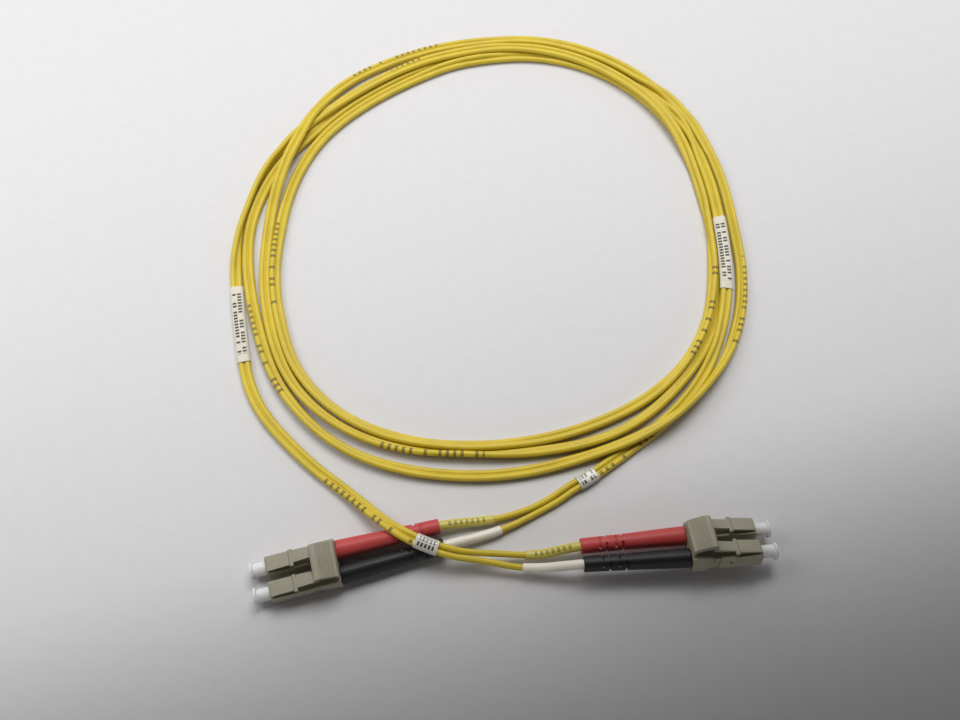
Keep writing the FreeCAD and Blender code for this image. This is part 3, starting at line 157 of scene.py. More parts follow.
LOBE_BLACK = [
    (-30.581, 46.894, 2.450), (-28.648, 47.410, 2.449), (-24.782, 48.441, 2.448), (-19.079, 50.321, 2.459),
    (-13.284, 51.876, 2.411), (-7.515, 53.589, 2.579), (-1.765, 55.162, 1.401), (3.994, 56.837, 1.297),
    (9.533, 59.251, 1.029), (14.665, 62.040, 0.787), (20.415, 65.125, 0.863), (23.482, 67.541, 1.214),
    (27.769, 69.902, 1.179), (32.943, 73.422, 0.968), (37.759, 76.977, 0.806), (42.641, 80.515, 0.848),
    (47.427, 84.218, 0.844), (51.951, 88.274, 0.839), (56.140, 92.682, 0.839), (59.893, 97.524, 0.845),
    (63.168, 102.638, 0.855), (65.655, 108.236, 1.084), (67.715, 113.815, 1.910), (69.336, 119.656, 2.387),
    (70.348, 125.604, 2.640), (70.906, 131.628, 2.952), (71.068, 137.645, 3.262), (70.951, 143.665, 3.315),
    (70.728, 149.675, 3.267), (70.250, 155.655, 3.224), (69.764, 161.629, 2.924), (68.744, 167.496, 2.422),
    (67.632, 173.320, 2.348), (65.839, 179.010, 1.086), (64.501, 185.150, 1.099), (61.323, 190.495, 2.149),
    (57.472, 195.052, 0.625), (54.049, 200.002, 0.898), (49.642, 204.610, 0.825), (44.747, 208.243, 0.844),
    (39.587, 211.502, 0.839), (34.082, 214.150, 0.840), (28.306, 216.135, 0.840), (22.327, 217.370, 0.840),
    (16.261, 217.924, 0.840), (10.182, 217.872, 0.840), (4.152, 217.374, 0.840), (-1.839, 216.370, 0.840),
    (-7.677, 214.737, 0.840), (-13.382, 212.663, 0.840), (-18.865, 210.105, 0.840), (-24.246, 207.292, 0.840),
    (-29.392, 204.036, 0.840), (-34.353, 200.531, 0.840), (-39.168, 196.808, 0.840), (-43.726, 192.764, 0.840),
    (-48.056, 188.437, 0.840), (-51.711, 183.457, 0.840), (-55.561, 179.064, 0.840), (-59.387, 174.282, 0.840),
    (-62.423, 169.024, 0.840), (-64.862, 163.442, 0.840), (-66.671, 157.649, 0.840), (-68.002, 151.719, 0.840),
    (-68.593, 145.628, 0.840), (-68.241, 139.544, 0.840), (-67.524, 133.543, 0.839), (-66.343, 127.662, 0.844),
    (-65.006, 121.757, 0.825), (-63.219, 116.015, 0.927), (-61.282, 110.307, 1.154), (-59.060, 104.701, 1.448),
    (-56.365, 99.260, 1.766), (-52.985, 94.221, 1.961), (-49.172, 89.517, 2.074), (-44.965, 85.155, 2.132),
    (-40.271, 81.314, 2.127), (-35.146, 78.066, 2.051), (-29.655, 75.475, 1.916), (-23.905, 73.529, 1.750),
    (-17.997, 72.158, 1.605), (-12.002, 71.281, 1.478), (-5.969, 70.837, 1.450), (0.086, 70.754, 1.439),
    (6.139, 71.134, 1.401), (12.140, 71.971, 1.385), (18.070, 73.218, 1.423), (23.892, 74.877, 1.582),
    (29.590, 76.715, 1.953), (35.264, 78.574, 2.616), (40.872, 80.728, 3.406), (46.282, 83.465, 4.083),
    (51.358, 86.848, 4.424), (55.922, 90.862, 4.334), (60.101, 95.225, 3.848), (63.994, 99.757, 3.096),
    (67.445, 104.575, 2.346), (70.378, 109.781, 1.764), (72.639, 115.370, 1.386), (74.290, 121.196, 1.125),
    (75.326, 127.168, 0.910), (75.880, 133.199, 0.821), (75.899, 139.256, 0.845), (75.489, 145.263, 0.839),
    (75.075, 151.231, 0.840), (74.666, 157.243, 0.840), (73.935, 163.263, 0.840), (72.788, 169.228, 0.841),
    (71.312, 175.175, 0.837), (69.300, 180.944, 0.851), (67.321, 186.911, 0.800), (63.852, 192.026, 0.988),
    (60.643, 197.513, 1.024), (55.479, 200.821, 1.508), (51.232, 204.549, 2.681), (46.437, 208.312, 2.723),
    (41.379, 211.665, 2.784), (35.996, 214.500, 2.780), (30.369, 216.839, 2.660), (24.545, 218.657, 2.464),
    (18.574, 219.920, 2.228), (12.498, 220.472, 2.051), (6.414, 220.342, 1.911), (0.369, 219.779, 1.944),
    (-5.621, 218.959, 1.932), (-11.573, 217.847, 1.750), (-17.445, 216.342, 1.472), (-23.201, 214.429, 1.189),
    (-28.808, 212.099, 0.999), (-34.226, 209.298, 0.933), (-39.351, 205.936, 1.022), (-43.972, 201.895, 1.301),
    (-47.902, 197.181, 1.865), (-51.074, 191.850, 2.200), (-53.530, 186.323, 3.541), (-55.658, 180.817, 3.848),
    (-57.638, 175.174, 4.056), (-59.400, 169.418, 3.937), (-60.834, 163.615, 3.245), (-62.047, 157.806, 2.020),
    (-62.741, 151.837, 0.936), (-62.989, 145.756, 0.814), (-62.925, 139.673, 0.847), (-62.728, 133.631, 0.837),
    (-62.125, 127.585, 0.846), (-60.994, 121.638, 0.820), (-59.471, 115.787, 0.982), (-57.605, 110.034, 1.283),
    (-55.305, 104.437, 1.640), (-52.441, 99.076, 1.906), (-48.775, 94.221, 2.026), (-44.462, 89.949, 2.089),
    (-39.664, 86.237, 2.114), (-34.448, 83.141, 2.112), (-28.901, 80.681, 2.054), (-23.098, 78.930, 2.054),
    (-17.131, 77.825, 2.141), (-11.117, 77.317, 2.356), (-5.090, 77.175, 2.487), (0.935, 76.969, 2.425),
    (6.966, 76.920, 2.146), (12.987, 77.309, 1.844), (18.964, 78.020, 1.795), (24.914, 79.120, 1.939),
    (30.765, 80.692, 2.016), (36.438, 82.855, 2.033), (41.768, 85.779, 2.018), (46.659, 89.388, 1.976),
    (51.102, 93.504, 1.893), (55.187, 97.948, 1.813), (59.004, 102.709, 1.700), (62.246, 107.831, 0.964),
    (65.076, 113.210, 0.807), (67.144, 118.896, 0.849), (68.630, 124.749, 0.838), (69.732, 130.700, 0.841),
    (70.306, 136.743, 0.840), (70.593, 142.751, 0.840), (70.491, 148.826, 0.840), (69.946, 154.843, 0.840),
    (69.138, 160.821, 0.839), (68.091, 166.767, 0.842), (66.639, 172.688, 0.833), (64.581, 178.404, 0.868),
    (61.370, 183.459, 0.737), (58.647, 188.774, 1.224), (55.092, 193.658, 0.737), (51.093, 198.380, 0.868),
    (46.655, 202.581, 0.833), (41.667, 206.135, 0.842), (36.371, 209.139, 0.840), (30.761, 211.562, 0.837),
    (24.908, 213.270, 0.851), (18.882, 214.296, 0.797), (12.779, 214.577, 1.000), (6.666, 214.105, 1.246),
    (0.765, 212.865, 2.036), (-5.212, 211.915, 1.659), (-11.036, 210.091, 1.481), (-16.477, 207.479, 1.179),
    (-21.812, 204.625, 0.809), (-26.960, 201.429, 0.848), (-31.978, 198.033, 0.838), (-36.768, 194.320, 0.841),
    (-41.323, 190.326, 0.840), (-45.570, 185.991, 0.840), (-49.327, 181.185, 0.840), (-52.444, 175.941, 0.840),
    (-54.929, 170.379, 0.840), (-56.838, 164.598, 0.839), (-58.178, 158.665, 0.845), (-59.076, 152.672, 0.821),
    (-59.555, 146.548, 0.911), (-59.686, 140.492, 1.702), (-59.637, 134.407, 1.798), (-59.068, 128.438, 1.802),
    (-58.008, 122.541, 1.847), (-56.493, 116.754, 1.832), (-54.720, 111.052, 1.843), (-52.543, 105.422, 1.921),
    (-49.485, 100.172, 2.056), (-45.701, 95.425, 2.098), (-41.333, 91.214, 2.104), (-36.453, 87.598, 2.064),
    (-31.143, 84.640, 1.918), (-25.514, 82.350, 1.749), (-19.649, 80.774, 1.915), (-13.665, 79.732, 2.015),
    (-7.637, 79.162, 1.885), (-1.617, 79.002, 1.748), (4.420, 79.276, 1.848), (10.445, 79.905, 1.677),
    (16.414, 80.852, 1.417), (22.303, 82.295, 1.447), (28.057, 84.184, 1.455), (33.683, 86.397, 1.452),
    (39.156, 89.000, 1.460), (44.379, 92.079, 1.475), (49.255, 95.676, 1.635), (53.479, 99.984, 2.106),
    (57.289, 104.675, 2.254), (60.434, 109.842, 2.343), (63.116, 115.256, 2.317), (65.051, 120.988, 2.325),
    (66.317, 126.898, 2.284), (67.273, 132.850, 2.161), (67.513, 138.821, 2.449), (67.274, 144.815, 2.539),
    (67.060, 150.823, 2.569), (66.990, 156.904, 2.278), (66.108, 162.913, 2.272), (64.950, 168.829, 2.399),
    (63.810, 174.725, 2.571), (62.004, 180.526, 2.625), (59.549, 186.066, 2.781), (56.551, 191.430, 2.765),
    (52.887, 196.350, 2.714), (48.678, 200.792, 2.615), (44.031, 204.714, 2.577), (39.083, 208.250, 2.504),
    (33.805, 211.342, 2.455), (28.200, 213.733, 2.448), (22.370, 215.430, 2.589), (16.394, 216.558, 2.598),
    (10.301, 217.010, 2.299), (4.199, 216.830, 2.506), (-1.834, 215.879, 2.506), (-7.750, 214.458, 2.567),
    (-13.524, 212.795, 2.611), (-19.302, 210.889, 2.363), (-24.708, 208.135, 2.283), (-29.896, 205.048, 2.173),
    (-34.869, 201.623, 2.121), (-39.659, 197.960, 2.062), (-44.318, 194.132, 2.083), (-48.611, 190.001, 1.766),
    (-53.147, 186.161, 1.394), (-57.270, 181.639, 2.788), (-60.239, 176.269, 2.747), (-63.620, 171.217, 2.558),
    (-65.958, 165.660, 2.536), (-67.557, 159.844, 2.443), (-68.878, 153.999, 2.385), (-70.030, 148.113, 2.556),
    (-70.679, 142.093, 2.542), (-70.978, 136.020, 2.016), (-70.487, 130.047, 0.969), (-69.409, 124.008, 1.147),
    (-68.322, 118.102, 1.101), (-67.070, 112.234, 1.108), (-65.829, 106.405, 1.127), (-64.465, 100.577, 1.044),
    (-62.357, 94.881, 0.953), (-59.335, 89.557, 0.986), (-55.551, 84.767, 0.999), (-51.331, 80.423, 0.995),
    (-46.982, 76.252, 0.989), (-42.415, 72.270, 0.968), (-37.533, 68.718, 1.091), (-32.790, 65.275, 1.703),
    (-28.331, 61.458, 2.825), (-23.897, 57.734, 4.779), (-18.895, 54.131, 5.968), (-13.439, 51.743, 5.839),
    (-7.300, 49.981, 5.099), (-4.897, 49.691, 4.323), (1.756, 49.163, 3.269), (7.391, 47.955, 2.627),
    (13.478, 47.426, 2.440), (19.364, 47.721, 3.648), (25.181, 48.029, 5.216), (31.258, 48.363, 4.801),
    (37.100, 48.814, 4.923), (43.620, 48.879, 5.043), (46.343, 49.145, 5.032), (47.705, 49.277, 5.026),
]

# ------------------------------------------------------------------ cord path
SAMPLES_PER_SPAN = 4


def spline_points(poles, stations):
    """Points of a clamped uniform cubic B-spline, by de Boor's algorithm."""
    poles = np.array(poles, float)
    spans = len(poles) - 3
    knots = np.concatenate([[0, 0, 0], np.arange(spans + 1), [spans] * 3]).astype(float)
    points = []
    for u in stations:
        first = min(int(u), spans - 1)
        blend = [poles[first + j].copy() for j in range(4)]
        for level in range(1, 4):
            for j in range(3, level - 1, -1):
                low = knots[j + first]
                share = (u - low) / (knots[j + 4 + first - level] - low)
                blend[j] = (1 - share) * blend[j - 1] + share * blend[j]
        points.append(blend[3])
    return np.array(points)


def sample_at(station):
    return int(station * SAMPLES_PER_SPAN)


LAST_STATION = len(LOBE_RED) - 3
STATIONS = np.linspace(0, LAST_STATION, LAST_STATION * SAMPLES_PER_SPAN + 1)
RED = spline_points(LOBE_RED, STATIONS) + SHIFT
BLACK = spline_points(LOBE_BLACK, STATIONS) + SHIFT
LEGS = (("red", RED), ("black", BLACK))


def unit(vectors):
    return vectors / np.maximum(np.linalg.norm(vectors, axis=1, keepdims=True), 1e-12)


def section_axes(line):
    """Axes of the cross-section at each sample: across (red to black) and normal to it."""
    tangent = unit(np.gradient(line, axis=0))
    span = BLACK - RED
    across = unit(span - tangent * (span * tangent).sum(1, keepdims=True))
    return across, np.cross(tangent, across)


MID = (RED + BLACK) / 2
ACROSS, NORMAL = section_axes(MID)
HALF_GAP = np.linalg.norm(BLACK - RED, axis=1) / 2
ARC = np.concatenate([[0], np.cumsum(np.linalg.norm(np.diff(MID, axis=0), axis=1))])


# --------------------------------------------------------------- mesh helpers
def add_attribute(mesh, name, values):
    attribute = mesh.attributes.new(name, "FLOAT", "POINT")
    attribute.data.foreach_set("value", np.asarray(values, np.float32).ravel())


def mesh_object(name, rows, loop_rows=False, attrs=None):
    """Skin over closed rows of points (mm), joined last to first or capped at both ends.

    attrs maps a name to one value per point.
    """
    count, sides = len(rows), len(rows[0])
    faces = []
    for i in range(count if loop_rows else count - 1):
        i2 = (i + 1) % count
        for j in range(sides):
            j2 = (j + 1) % sides
            faces.append((i * sides + j, i * sides + j2, i2 * sides + j2, i2 * sides + j))
    if not loop_rows:
        faces.append(tuple(range(sides - 1, -1, -1)))
        faces.append(tuple((count - 1) * sides + j for j in range(sides)))
    mesh = bpy.data.meshes.new(name)
    mesh.from_pydata((np.concatenate(rows) * MM).tolist(), [], faces)
    for key, values in (attrs or {}).items():
        add_attribute(mesh, key, values)
    mesh.polygons.foreach_set("use_smooth", [len(p.vertices) == 4 for p in mesh.polygons])
    mesh.update()
    bm = bmesh.new()
    bm.from_mesh(mesh)
    bmesh.ops.recalc_face_normals(bm, faces=bm.faces)
    bm.to_mesh(mesh)
    bm.free()
    return link_object(name, mesh)


def link_object(name, data):
    ob = bpy.data.objects.new(name, data)
    bpy.context.scene.collection.objects.link(ob)
    return ob


def place(flat, centre, across, normal):
    """Puts (across, normal) section points round a centre."""
    return centre + np.outer(flat[:, 0], across) + np.outer(flat[:, 1], normal)


def circle(centre, across, normal, radius, sides):
    t = np.arange(sides) * 2 * math.pi / sides
    flat = np.stack([np.cos(t) * radius, np.sin(t) * radius], 1)
    return place(flat, centre, across, normal)


LOBE_RADIUS = 0.82
WEB_HALF = 0.26  # half thickness of the web that joins the two lobes


def figure_eight(centre, across, normal, half_gap):
    w = math.asin(WEB_HALF / LOBE_RADIUS)
    t = np.linspace(-(math.pi - w), math.pi - w, 15)
    right = np.stack([half_gap + LOBE_RADIUS * np.cos(t), LOBE_RADIUS * np.sin(t)], 1)
    t = np.linspace(w, 2 * math.pi - w, 15)
    left = np.stack([-half_gap + LOBE_RADIUS * np.cos(t), LOBE_RADIUS * np.sin(t)], 1)
    return place(np.concatenate([right, left]), centre, across, normal)


def stadium(centre, across, normal, half_gap, radius):
    t = np.radians(np.arange(-90, 91, 15))
    right = np.stack([half_gap + radius * np.cos(t), radius * np.sin(t)], 1)
    return place(np.concatenate([right, -right]), centre, across, normal)


def ring_body(name, outer, inner, attrs_for=None):
    """Tube with wall thickness and softened rims; attrs_for(rows) gives its attributes."""
    def rim(row, wall_mid):
        return row * 0.75 + wall_mid * 0.25

    start = (outer[0] + inner[0]) / 2
    end = (outer[-1] + inner[-1]) / 2
    rows = [outer[0] + 2 * (outer[1] - outer[0]) / 12, *outer[1:-1],
            outer[-1] - 2 * (outer[-1] - outer[-2]) / 12,
            rim(outer[-1], end), end, rim(inner[-1], end), *inner[1:-1][::-1],
            rim(inner[0], start), start, rim(outer[0], start)]
    attrs = attrs_for(rows) if attrs_for else None
    return mesh_object(name, rows, loop_rows=True, attrs=attrs)


# --------------------------------------------------------------- shader marks
def linear_rgba(rgb):
    return tuple((x / 255.0) ** 2.2 for x in rgb) + (1.0,)


def attribute_value(tree, name):
    node = tree.nodes.new("ShaderNodeAttribute")
    node.attribute_name = name
    return node.outputs["Fac"]


def math_node(tree, operation, *values):
    node = tree.nodes.new("ShaderNodeMath")
    node.operation = operation
    for i, value in enumerate(values):
        if isinstance(value, (int, float)):
            node.inputs[i].default_value = value
        else:
            tree.links.new(value, node.inputs[i])
    return node.outputs[0]


def random_per_step(tree, along, pitch):
    """One random value for each pitch length."""
    noise = tree.nodes.new("ShaderNodeTexWhiteNoise")
    noise.noise_dimensions = "1D"
    step = math_node(tree, "FLOOR", math_node(tree, "DIVIDE", along, pitch))
    tree.links.new(step, noise.inputs["W"])
    return noise.outputs["Value"]


def ink_over(tree, colour, mask, strength, ink):
    """Mixes an ink over the colour where the mask is 1."""
    mix = tree.nodes.new("ShaderNodeMix")
    mix.data_type = "RGBA"
    tree.links.new(math_node(tree, "MULTIPLY", mask, strength), mix.inputs["Factor"])
    tree.links.new(colour, mix.inputs["A"])
    mix.inputs["B"].default_value = linear_rgba(ink)
    return mix.outputs["Result"]


GROUP_PITCH = 172.0
GROUP_LENGTH = 31.0
# Station 301.5 falls 30.5 mm into a printed group.
PRINT_PHASE = 30.5 - ARC[sample_at(301.5)] % GROUP_PITCH + GROUP_PITCH


def printed_marks(tree, colour):
    """Plain printed dashes in groups along the top of the jacket's black half."""
    def op(*args):
        return math_node(tree, *args)

    pitch, dash_length, gap_share = 1.9, 0.85, 0.22
    arc, up, side = (attribute_value(tree, n) for n in ("arc", "upness", "sideness"))
    in_group = op("MODULO", op("ADD", arc, float(PRINT_PHASE)), GROUP_PITCH)
    group = op("LESS_THAN", in_group, GROUP_LENGTH)
    dash = op("LESS_THAN", op("MODULO", arc, pitch), dash_length)
    keep = op("GREATER_THAN", random_per_step(tree, arc, pitch), gap_share)
    band = op("MULTIPLY", op("GREATER_THAN", up, 0.80), op("GREATER_THAN", side, 0.35))
    mask = op("MULTIPLY", op("MULTIPLY", group, dash), op("MULTIPLY", keep, band))
    return ink_over(tree, colour, mask, strength=0.72, ink=(70, 58, 40))


def shrink_marks(tree, colour):
    """Plain printed dashes along the top of the yellow heat-shrink sleeves."""
    def op(*args):
        return math_node(tree, *args)

    pitch, dash_length, gap_share, print_end = 1.45, 0.70, 0.24, 18.6
    run = attribute_value(tree, "run")
    tone = random_per_step(tree, run, pitch)
    dash = op("MULTIPLY", op("LESS_THAN", op("MODULO", run, pitch), dash_length),
              op("GREATER_THAN", tone, gap_share))
    band = op("MULTIPLY", op("GREATER_THAN", attribute_value(tree, "rise"), 0.86),
              op("LESS_THAN", run, print_end))
    mask = op("MULTIPLY", dash, band)
    return ink_over(tree, colour, mask, strength=0.60, ink=(78, 70, 44))


def label_bars(tree, colour):
    """Rows of plain dark bars along a wrap label."""
    def op(*args):
        return math_node(tree, *args)

    pitch, bar_length, gap_share = 0.95, 0.60, 0.18
    arc, side = (attribute_value(tree, n) for n in ("arc", "sideness"))
    step = op("FLOOR", op("DIVIDE", arc, pitch))
    # 0.62 rows per mm across; the offset of 10 keeps row numbers positive
    row = op("FLOOR", op("ADD", op("MULTIPLY", side, 0.62), 10.0))
    noise = tree.nodes.new("ShaderNodeTexWhiteNoise")
    noise.noise_dimensions = "2D"
    cell = tree.nodes.new("ShaderNodeCombineXYZ")
    tree.links.new(step, cell.inputs[0])
    tree.links.new(row, cell.inputs[1])
    tree.links.new(cell.outputs[0], noise.inputs["Vector"])
    keep = op("GREATER_THAN", noise.outputs["Value"], gap_share)
    bar = op("LESS_THAN", op("MODULO", arc, pitch), bar_length)
    band = op("MULTIPLY", op("GREATER_THAN", op("ABSOLUTE", side), 0.18),
              op("LESS_THAN", op("ABSOLUTE", side), 1.25))
    window = op("MULTIPLY", op("GREATER_THAN", attribute_value(tree, "along"), 0.10),
                op("LESS_THAN", attribute_value(tree, "along"), 0.90))
    mask = op("MULTIPLY", op("MULTIPLY", keep, bar), op("MULTIPLY", band, window))
    return ink_over(tree, colour, mask, strength=0.95, ink=(46, 42, 38))


# ------------------------------------------------------------------ materials
def finish_material(name, colour, rough, grain=2600, bump=0.10, mottle=0.06, bevel=0.0,
                    metal=0.0, transmission=0.0, sss=0.0, coat=0.0, marks=None):
    """Plastic, rubber or metal with grain bump, faint colour mottling and rounded edges."""
    material = bpy.data.materials.new(name)
    material.use_nodes = True
    tree = material.node_tree
    new, link = tree.nodes.new, tree.links.new
    surface = tree.nodes["Principled BSDF"]
    coords = new("ShaderNodeTexCoord")

    def noise(scale, detail):
        node = new("ShaderNodeTexNoise")
        node.inputs["Scale"].default_value = scale
        node.inputs["Detail"].default_value = detail
        link(coords.outputs["Object"], node.inputs["Vector"])
        return node.outputs["Fac"]

    ramp = None
    coarse = noise(scale=160, detail=5)
    ramp = new("ShaderNodeValToRGB")
    base = linear_rgba(colour)[:3]
    dark, light = ramp.color_ramp.elements
    dark.position = 0.3
    light.position = 0.7
    dark.color = tuple(x * (1 - mottle) for x in base) + (1,)
    light.color = tuple(min(1, x * (1 + mottle)) for x in base) + (1,)
    link(coarse, ramp.inputs["Fac"])
    colour_out = ramp.outputs["Color"]
    if marks:
        colour_out = marks(tree, colour_out)
    link(colour_out, surface.inputs["Base Color"])

    fine = noise(scale=grain, detail=3)
    rough_range = new("ShaderNodeMapRange")
    rough_range.inputs["To Min"].default_value = max(0.02, rough - 0.07)
    rough_range.inputs["To Max"].default_value = min(1.0, rough + 0.07)
    link(fine, rough_range.inputs["Value"])
    link(rough_range.outputs["Result"], surface.inputs["Roughness"])

    bumps = new("ShaderNodeBump")
    bumps.inputs["Strength"].default_value = bump
    bumps.inputs["Distance"].default_value = 0.00006
    link(fine, bumps.inputs["Height"])
    if bevel:
        edges = new("ShaderNodeBevel")
        edges.samples = 4
        edges.inputs["Radius"].default_value = bevel
        link(edges.outputs["Normal"], bumps.inputs["Normal"])
    link(bumps.outputs["Normal"], surface.inputs["Normal"])

    for socket, value in (("Metallic", metal), ("Transmission Weight", transmission),
                          ("Subsurface Weight", sss), ("Coat Weight", coat),
                          ("Subsurface Radius", (0.001, 0.0008, 0.0005))):
        surface.inputs[socket].default_value = value
    return material


# Colours are 0-255 RGB; bevel radii are in metres.
FINISHES = {
    "jacket_yellow": dict(colour=(206, 181, 47), rough=0.46, grain=1500, bump=0.16, mottle=0.07,
                          sss=0.08, marks=printed_marks),
    "plug_beige": dict(colour=(156, 151, 131), rough=0.48, bump=0.14, bevel=0.00012, sss=0.05),
    "clip_beige": dict(colour=(156, 150, 130), rough=0.50, bump=0.16, bevel=0.00014, sss=0.05),
    "boot_red": dict(colour=(190, 70, 68), rough=0.50, bump=0.20, bevel=0.00010),
    "boot_black": dict(colour=(24, 24, 26), rough=0.50, bump=0.20, bevel=0.00010),
    "shrink_yellow": dict(colour=(208, 192, 92), rough=0.36, grain=700, bump=0.5, mottle=0.05,
                          sss=0.06, marks=shrink_marks),
    "shrink_white": dict(colour=(232, 226, 210), rough=0.36, grain=700, bump=0.5, mottle=0.03,
                         sss=0.06),
    "cap_clear": dict(colour=(240, 241, 238), rough=0.30, bump=0.06, mottle=0.02, bevel=0.00010,
                      transmission=0.12, sss=0.25),
    "label_white": dict(colour=(214, 207, 190), rough=0.55, grain=900, bump=0.25, mottle=0.04,
                        marks=label_bars),
    "marker_clear": dict(colour=(232, 230, 214), rough=0.25, bump=0.05, mottle=0.02,
                         transmission=0.35, coat=0.4, marks=label_bars),
    "zirconia": dict(colour=(240, 240, 236), rough=0.12, bump=0.02, mottle=0.01, coat=0.5),
    "nickel": dict(colour=(200, 196, 188), rough=0.25, bump=0.05, metal=1.0),
    "spring_steel": dict(colour=(170, 170, 172), rough=0.28, bump=0.05, metal=1.0),
    "ptfe_white": dict(colour=(236, 236, 232), rough=0.40),
    "crimp_metal": dict(colour=(188, 182, 172), rough=0.32, bump=0.1, metal=1.0),
    "glass": dict(colour=(225, 235, 238), rough=0.05, bump=0.0, transmission=0.9),
    "buffer_white": dict(colour=(238, 238, 232), rough=0.35),
    "aramid": dict(colour=(226, 196, 92), rough=0.6, grain=6000, bump=0.5),
}
MATERIALS = {name: finish_material(name, **finish) for name, finish in FINISHES.items()}

slots = {s["node"]: s["material_slot"] for s in frame["record"]["subparts"]}
for node, ob in frame["nodes"].items():
    ob.data.materials.clear()
    ob.data.materials.append(MATERIALS[slots[node]])


def dress(ob, slot, *nodes):
    """Gives a piece its material, ties it to the cord and hides the frame nodes it replaces."""
    ob.data.materials.append(MATERIALS[slot])
    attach(ob, "cord")
    if nodes:
        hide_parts(*nodes)


# ---------------------------------------------------------------------- cord
JOIN_A = sample_at(10.7)  # the two legs run joined between these samples
JOIN_B = sample_at(302.7)
LEG_RADIUS = 0.80
LEG_SIDES = 18


def build_joined_cord():
    rows, arc, upness, sideness = [], [], [], []
    for i in range(JOIN_A, JOIN_B + 1):
        half_gap = HALF_GAP[i]
        if JOIN_A + 2 < i < JOIN_B - 2:
            half_gap = max(0.84, min(half_gap, 0.86))
        row = figure_eight(MID[i], ACROSS[i], NORMAL[i], half_gap)
        rows.append(row)
        offset = row - MID[i]
        arc += [ARC[i]] * len(row)
        upness += list(offset[:, 2] / LOBE_RADIUS)
        sideness += list(offset @ ACROSS[i])
    cord = mesh_object("zipcord_jacket", rows,
                       attrs={"arc": arc, "upness": upness, "sideness": sideness})
    dress(cord, "jacket_yellow", "zipcord_jacket_red", "zipcord_jacket_black")


def build_split_legs():
    for colour, line in LEGS:
        across, normal = section_axes(line)
        for end, samples in (("a", range(0, JOIN_A + 2)),
                             ("b", range(JOIN_B - 1, len(STATIONS)))):
            rows = [circle(line[i], across[i], normal[i], LEG_RADIUS, LEG_SIDES)
                    for i in samples]
            zero = np.zeros(len(rows) * LEG_SIDES)
            # zero upness and sideness keep the legs free of print
            attrs = {"arc": zero + 40, "upness": zero, "sideness": zero}
            dress(mesh_object(f"zipcord_leg_{colour}_{end}", rows, attrs=attrs),
                  "jacket_yellow")


build_joined_cord()
build_split_legs()

# -------------------------------------------------------- heat-shrink sleeves
SLEEVE_START = -37.5  # local x of the connector end behind which a sleeve starts
SLEEVE_LENGTH = 20.0
SLEEVE_RADIUS = 1.20
SLEEVE_BORE = 0.86
SLEEVE_SIDES = 28


def end_frame(end):
    """Position and rotation matrix of a connector end."""
    yaw, roll = (math.radians(ENDS[end][key]) for key in ("yaw", "roll"))
    turn_z = np.array([[math.cos(yaw), -math.sin(yaw), 0],
                       [math.sin(yaw), math.cos(yaw), 0], [0, 0, 1]])
    turn_x = np.array([[1, 0, 0], [0, math.cos(roll), -math.sin(roll)],
                       [0, math.sin(roll), math.cos(roll)]])
    return np.array(ENDS[end]["pos"]) + SHIFT, turn_z @ turn_x


def sleeve_samples(line, end):
    """Samples under a sleeve, from the connector inwards."""
    pos, turn = end_frame(end)
    local = (line - pos) @ turn
    order = range(len(STATIONS)) if end == "a" else range(len(STATIONS) - 1, -1, -1)
    behind = [i for i in order if local[i, 0] < SLEEVE_START]
    # other turns of the coil also lie behind the connector
    near = [i for i in behind if abs(i - behind[0]) < 60]
    run, keep = 0.0, [near[0]]
    for p, q in zip(near, near[1:]):
        run += np.linalg.norm(line[q] - line[p])
        if run > SLEEVE_LENGTH:
            break
        keep.append(q)
    return keep


def build_sleeve(colour, line, end, rng):
    """Sleeve drawn down over a leg: slightly uneven and tighter at the free end."""
    across, normal = section_axes(line)
    keep = sleeve_samples(line, end)
    wobble = rng.normal(0, 0.012, len(keep))
    outer, inner = [], []
    for k, i in enumerate(keep):
        share = k / (len(keep) - 1)
        radius = SLEEVE_RADIUS + wobble[k] - 0.10 * max(0.0, (share - 0.86) / 0.14)
        outer.append(circle(line[i], across[i], normal[i], radius, SLEEVE_SIDES))
        inner.append(circle(line[i], across[i], normal[i], SLEEVE_BORE, SLEEVE_SIDES))
    node = f"heat_shrink_{colour}_{end}"
    sleeve = ring_body("vis_" + node, outer, inner)

    centre = line[keep]
    steps = np.linalg.norm(np.diff(centre, axis=0), axis=1)
    along = np.concatenate([[0.0], np.cumsum(steps)])
    verts = np.array([p.co[:] for p in sleeve.data.vertices]) / MM
    nearest = np.argmin(((verts[:, None, :] - centre[None]) ** 2).sum(axis=2), axis=1)
    add_attribute(sleeve.data, "run", along[nearest])
    add_attribute(sleeve.data, "rise", (verts - centre[nearest])[:, 2] / SLEEVE_RADIUS)
    dress(sleeve, "shrink_yellow" if colour == "red" else "shrink_white", node)


sleeve_rng = np.random.default_rng(7)
for colour, line in LEGS:
    for end in "ab":
        build_sleeve(colour, line, end, sleeve_rng)

# ------------------------------------------------- wrap labels, marker sleeves
WRAP_BORE = 0.90

# node, material slot, first station, last station, outer radius (mm)
WRAPS = (
    ("wrap_label_a", "label_white", 23.0, 27.0, 1.03),
    ("wrap_label_b", "label_white", 285.5, 289.5, 1.03),
    ("marker_sleeve_a", "marker_clear", 10.5, 11.5, 1.08),
    ("marker_sleeve_b", "marker_clear", 301.5, 302.5, 1.08),
)


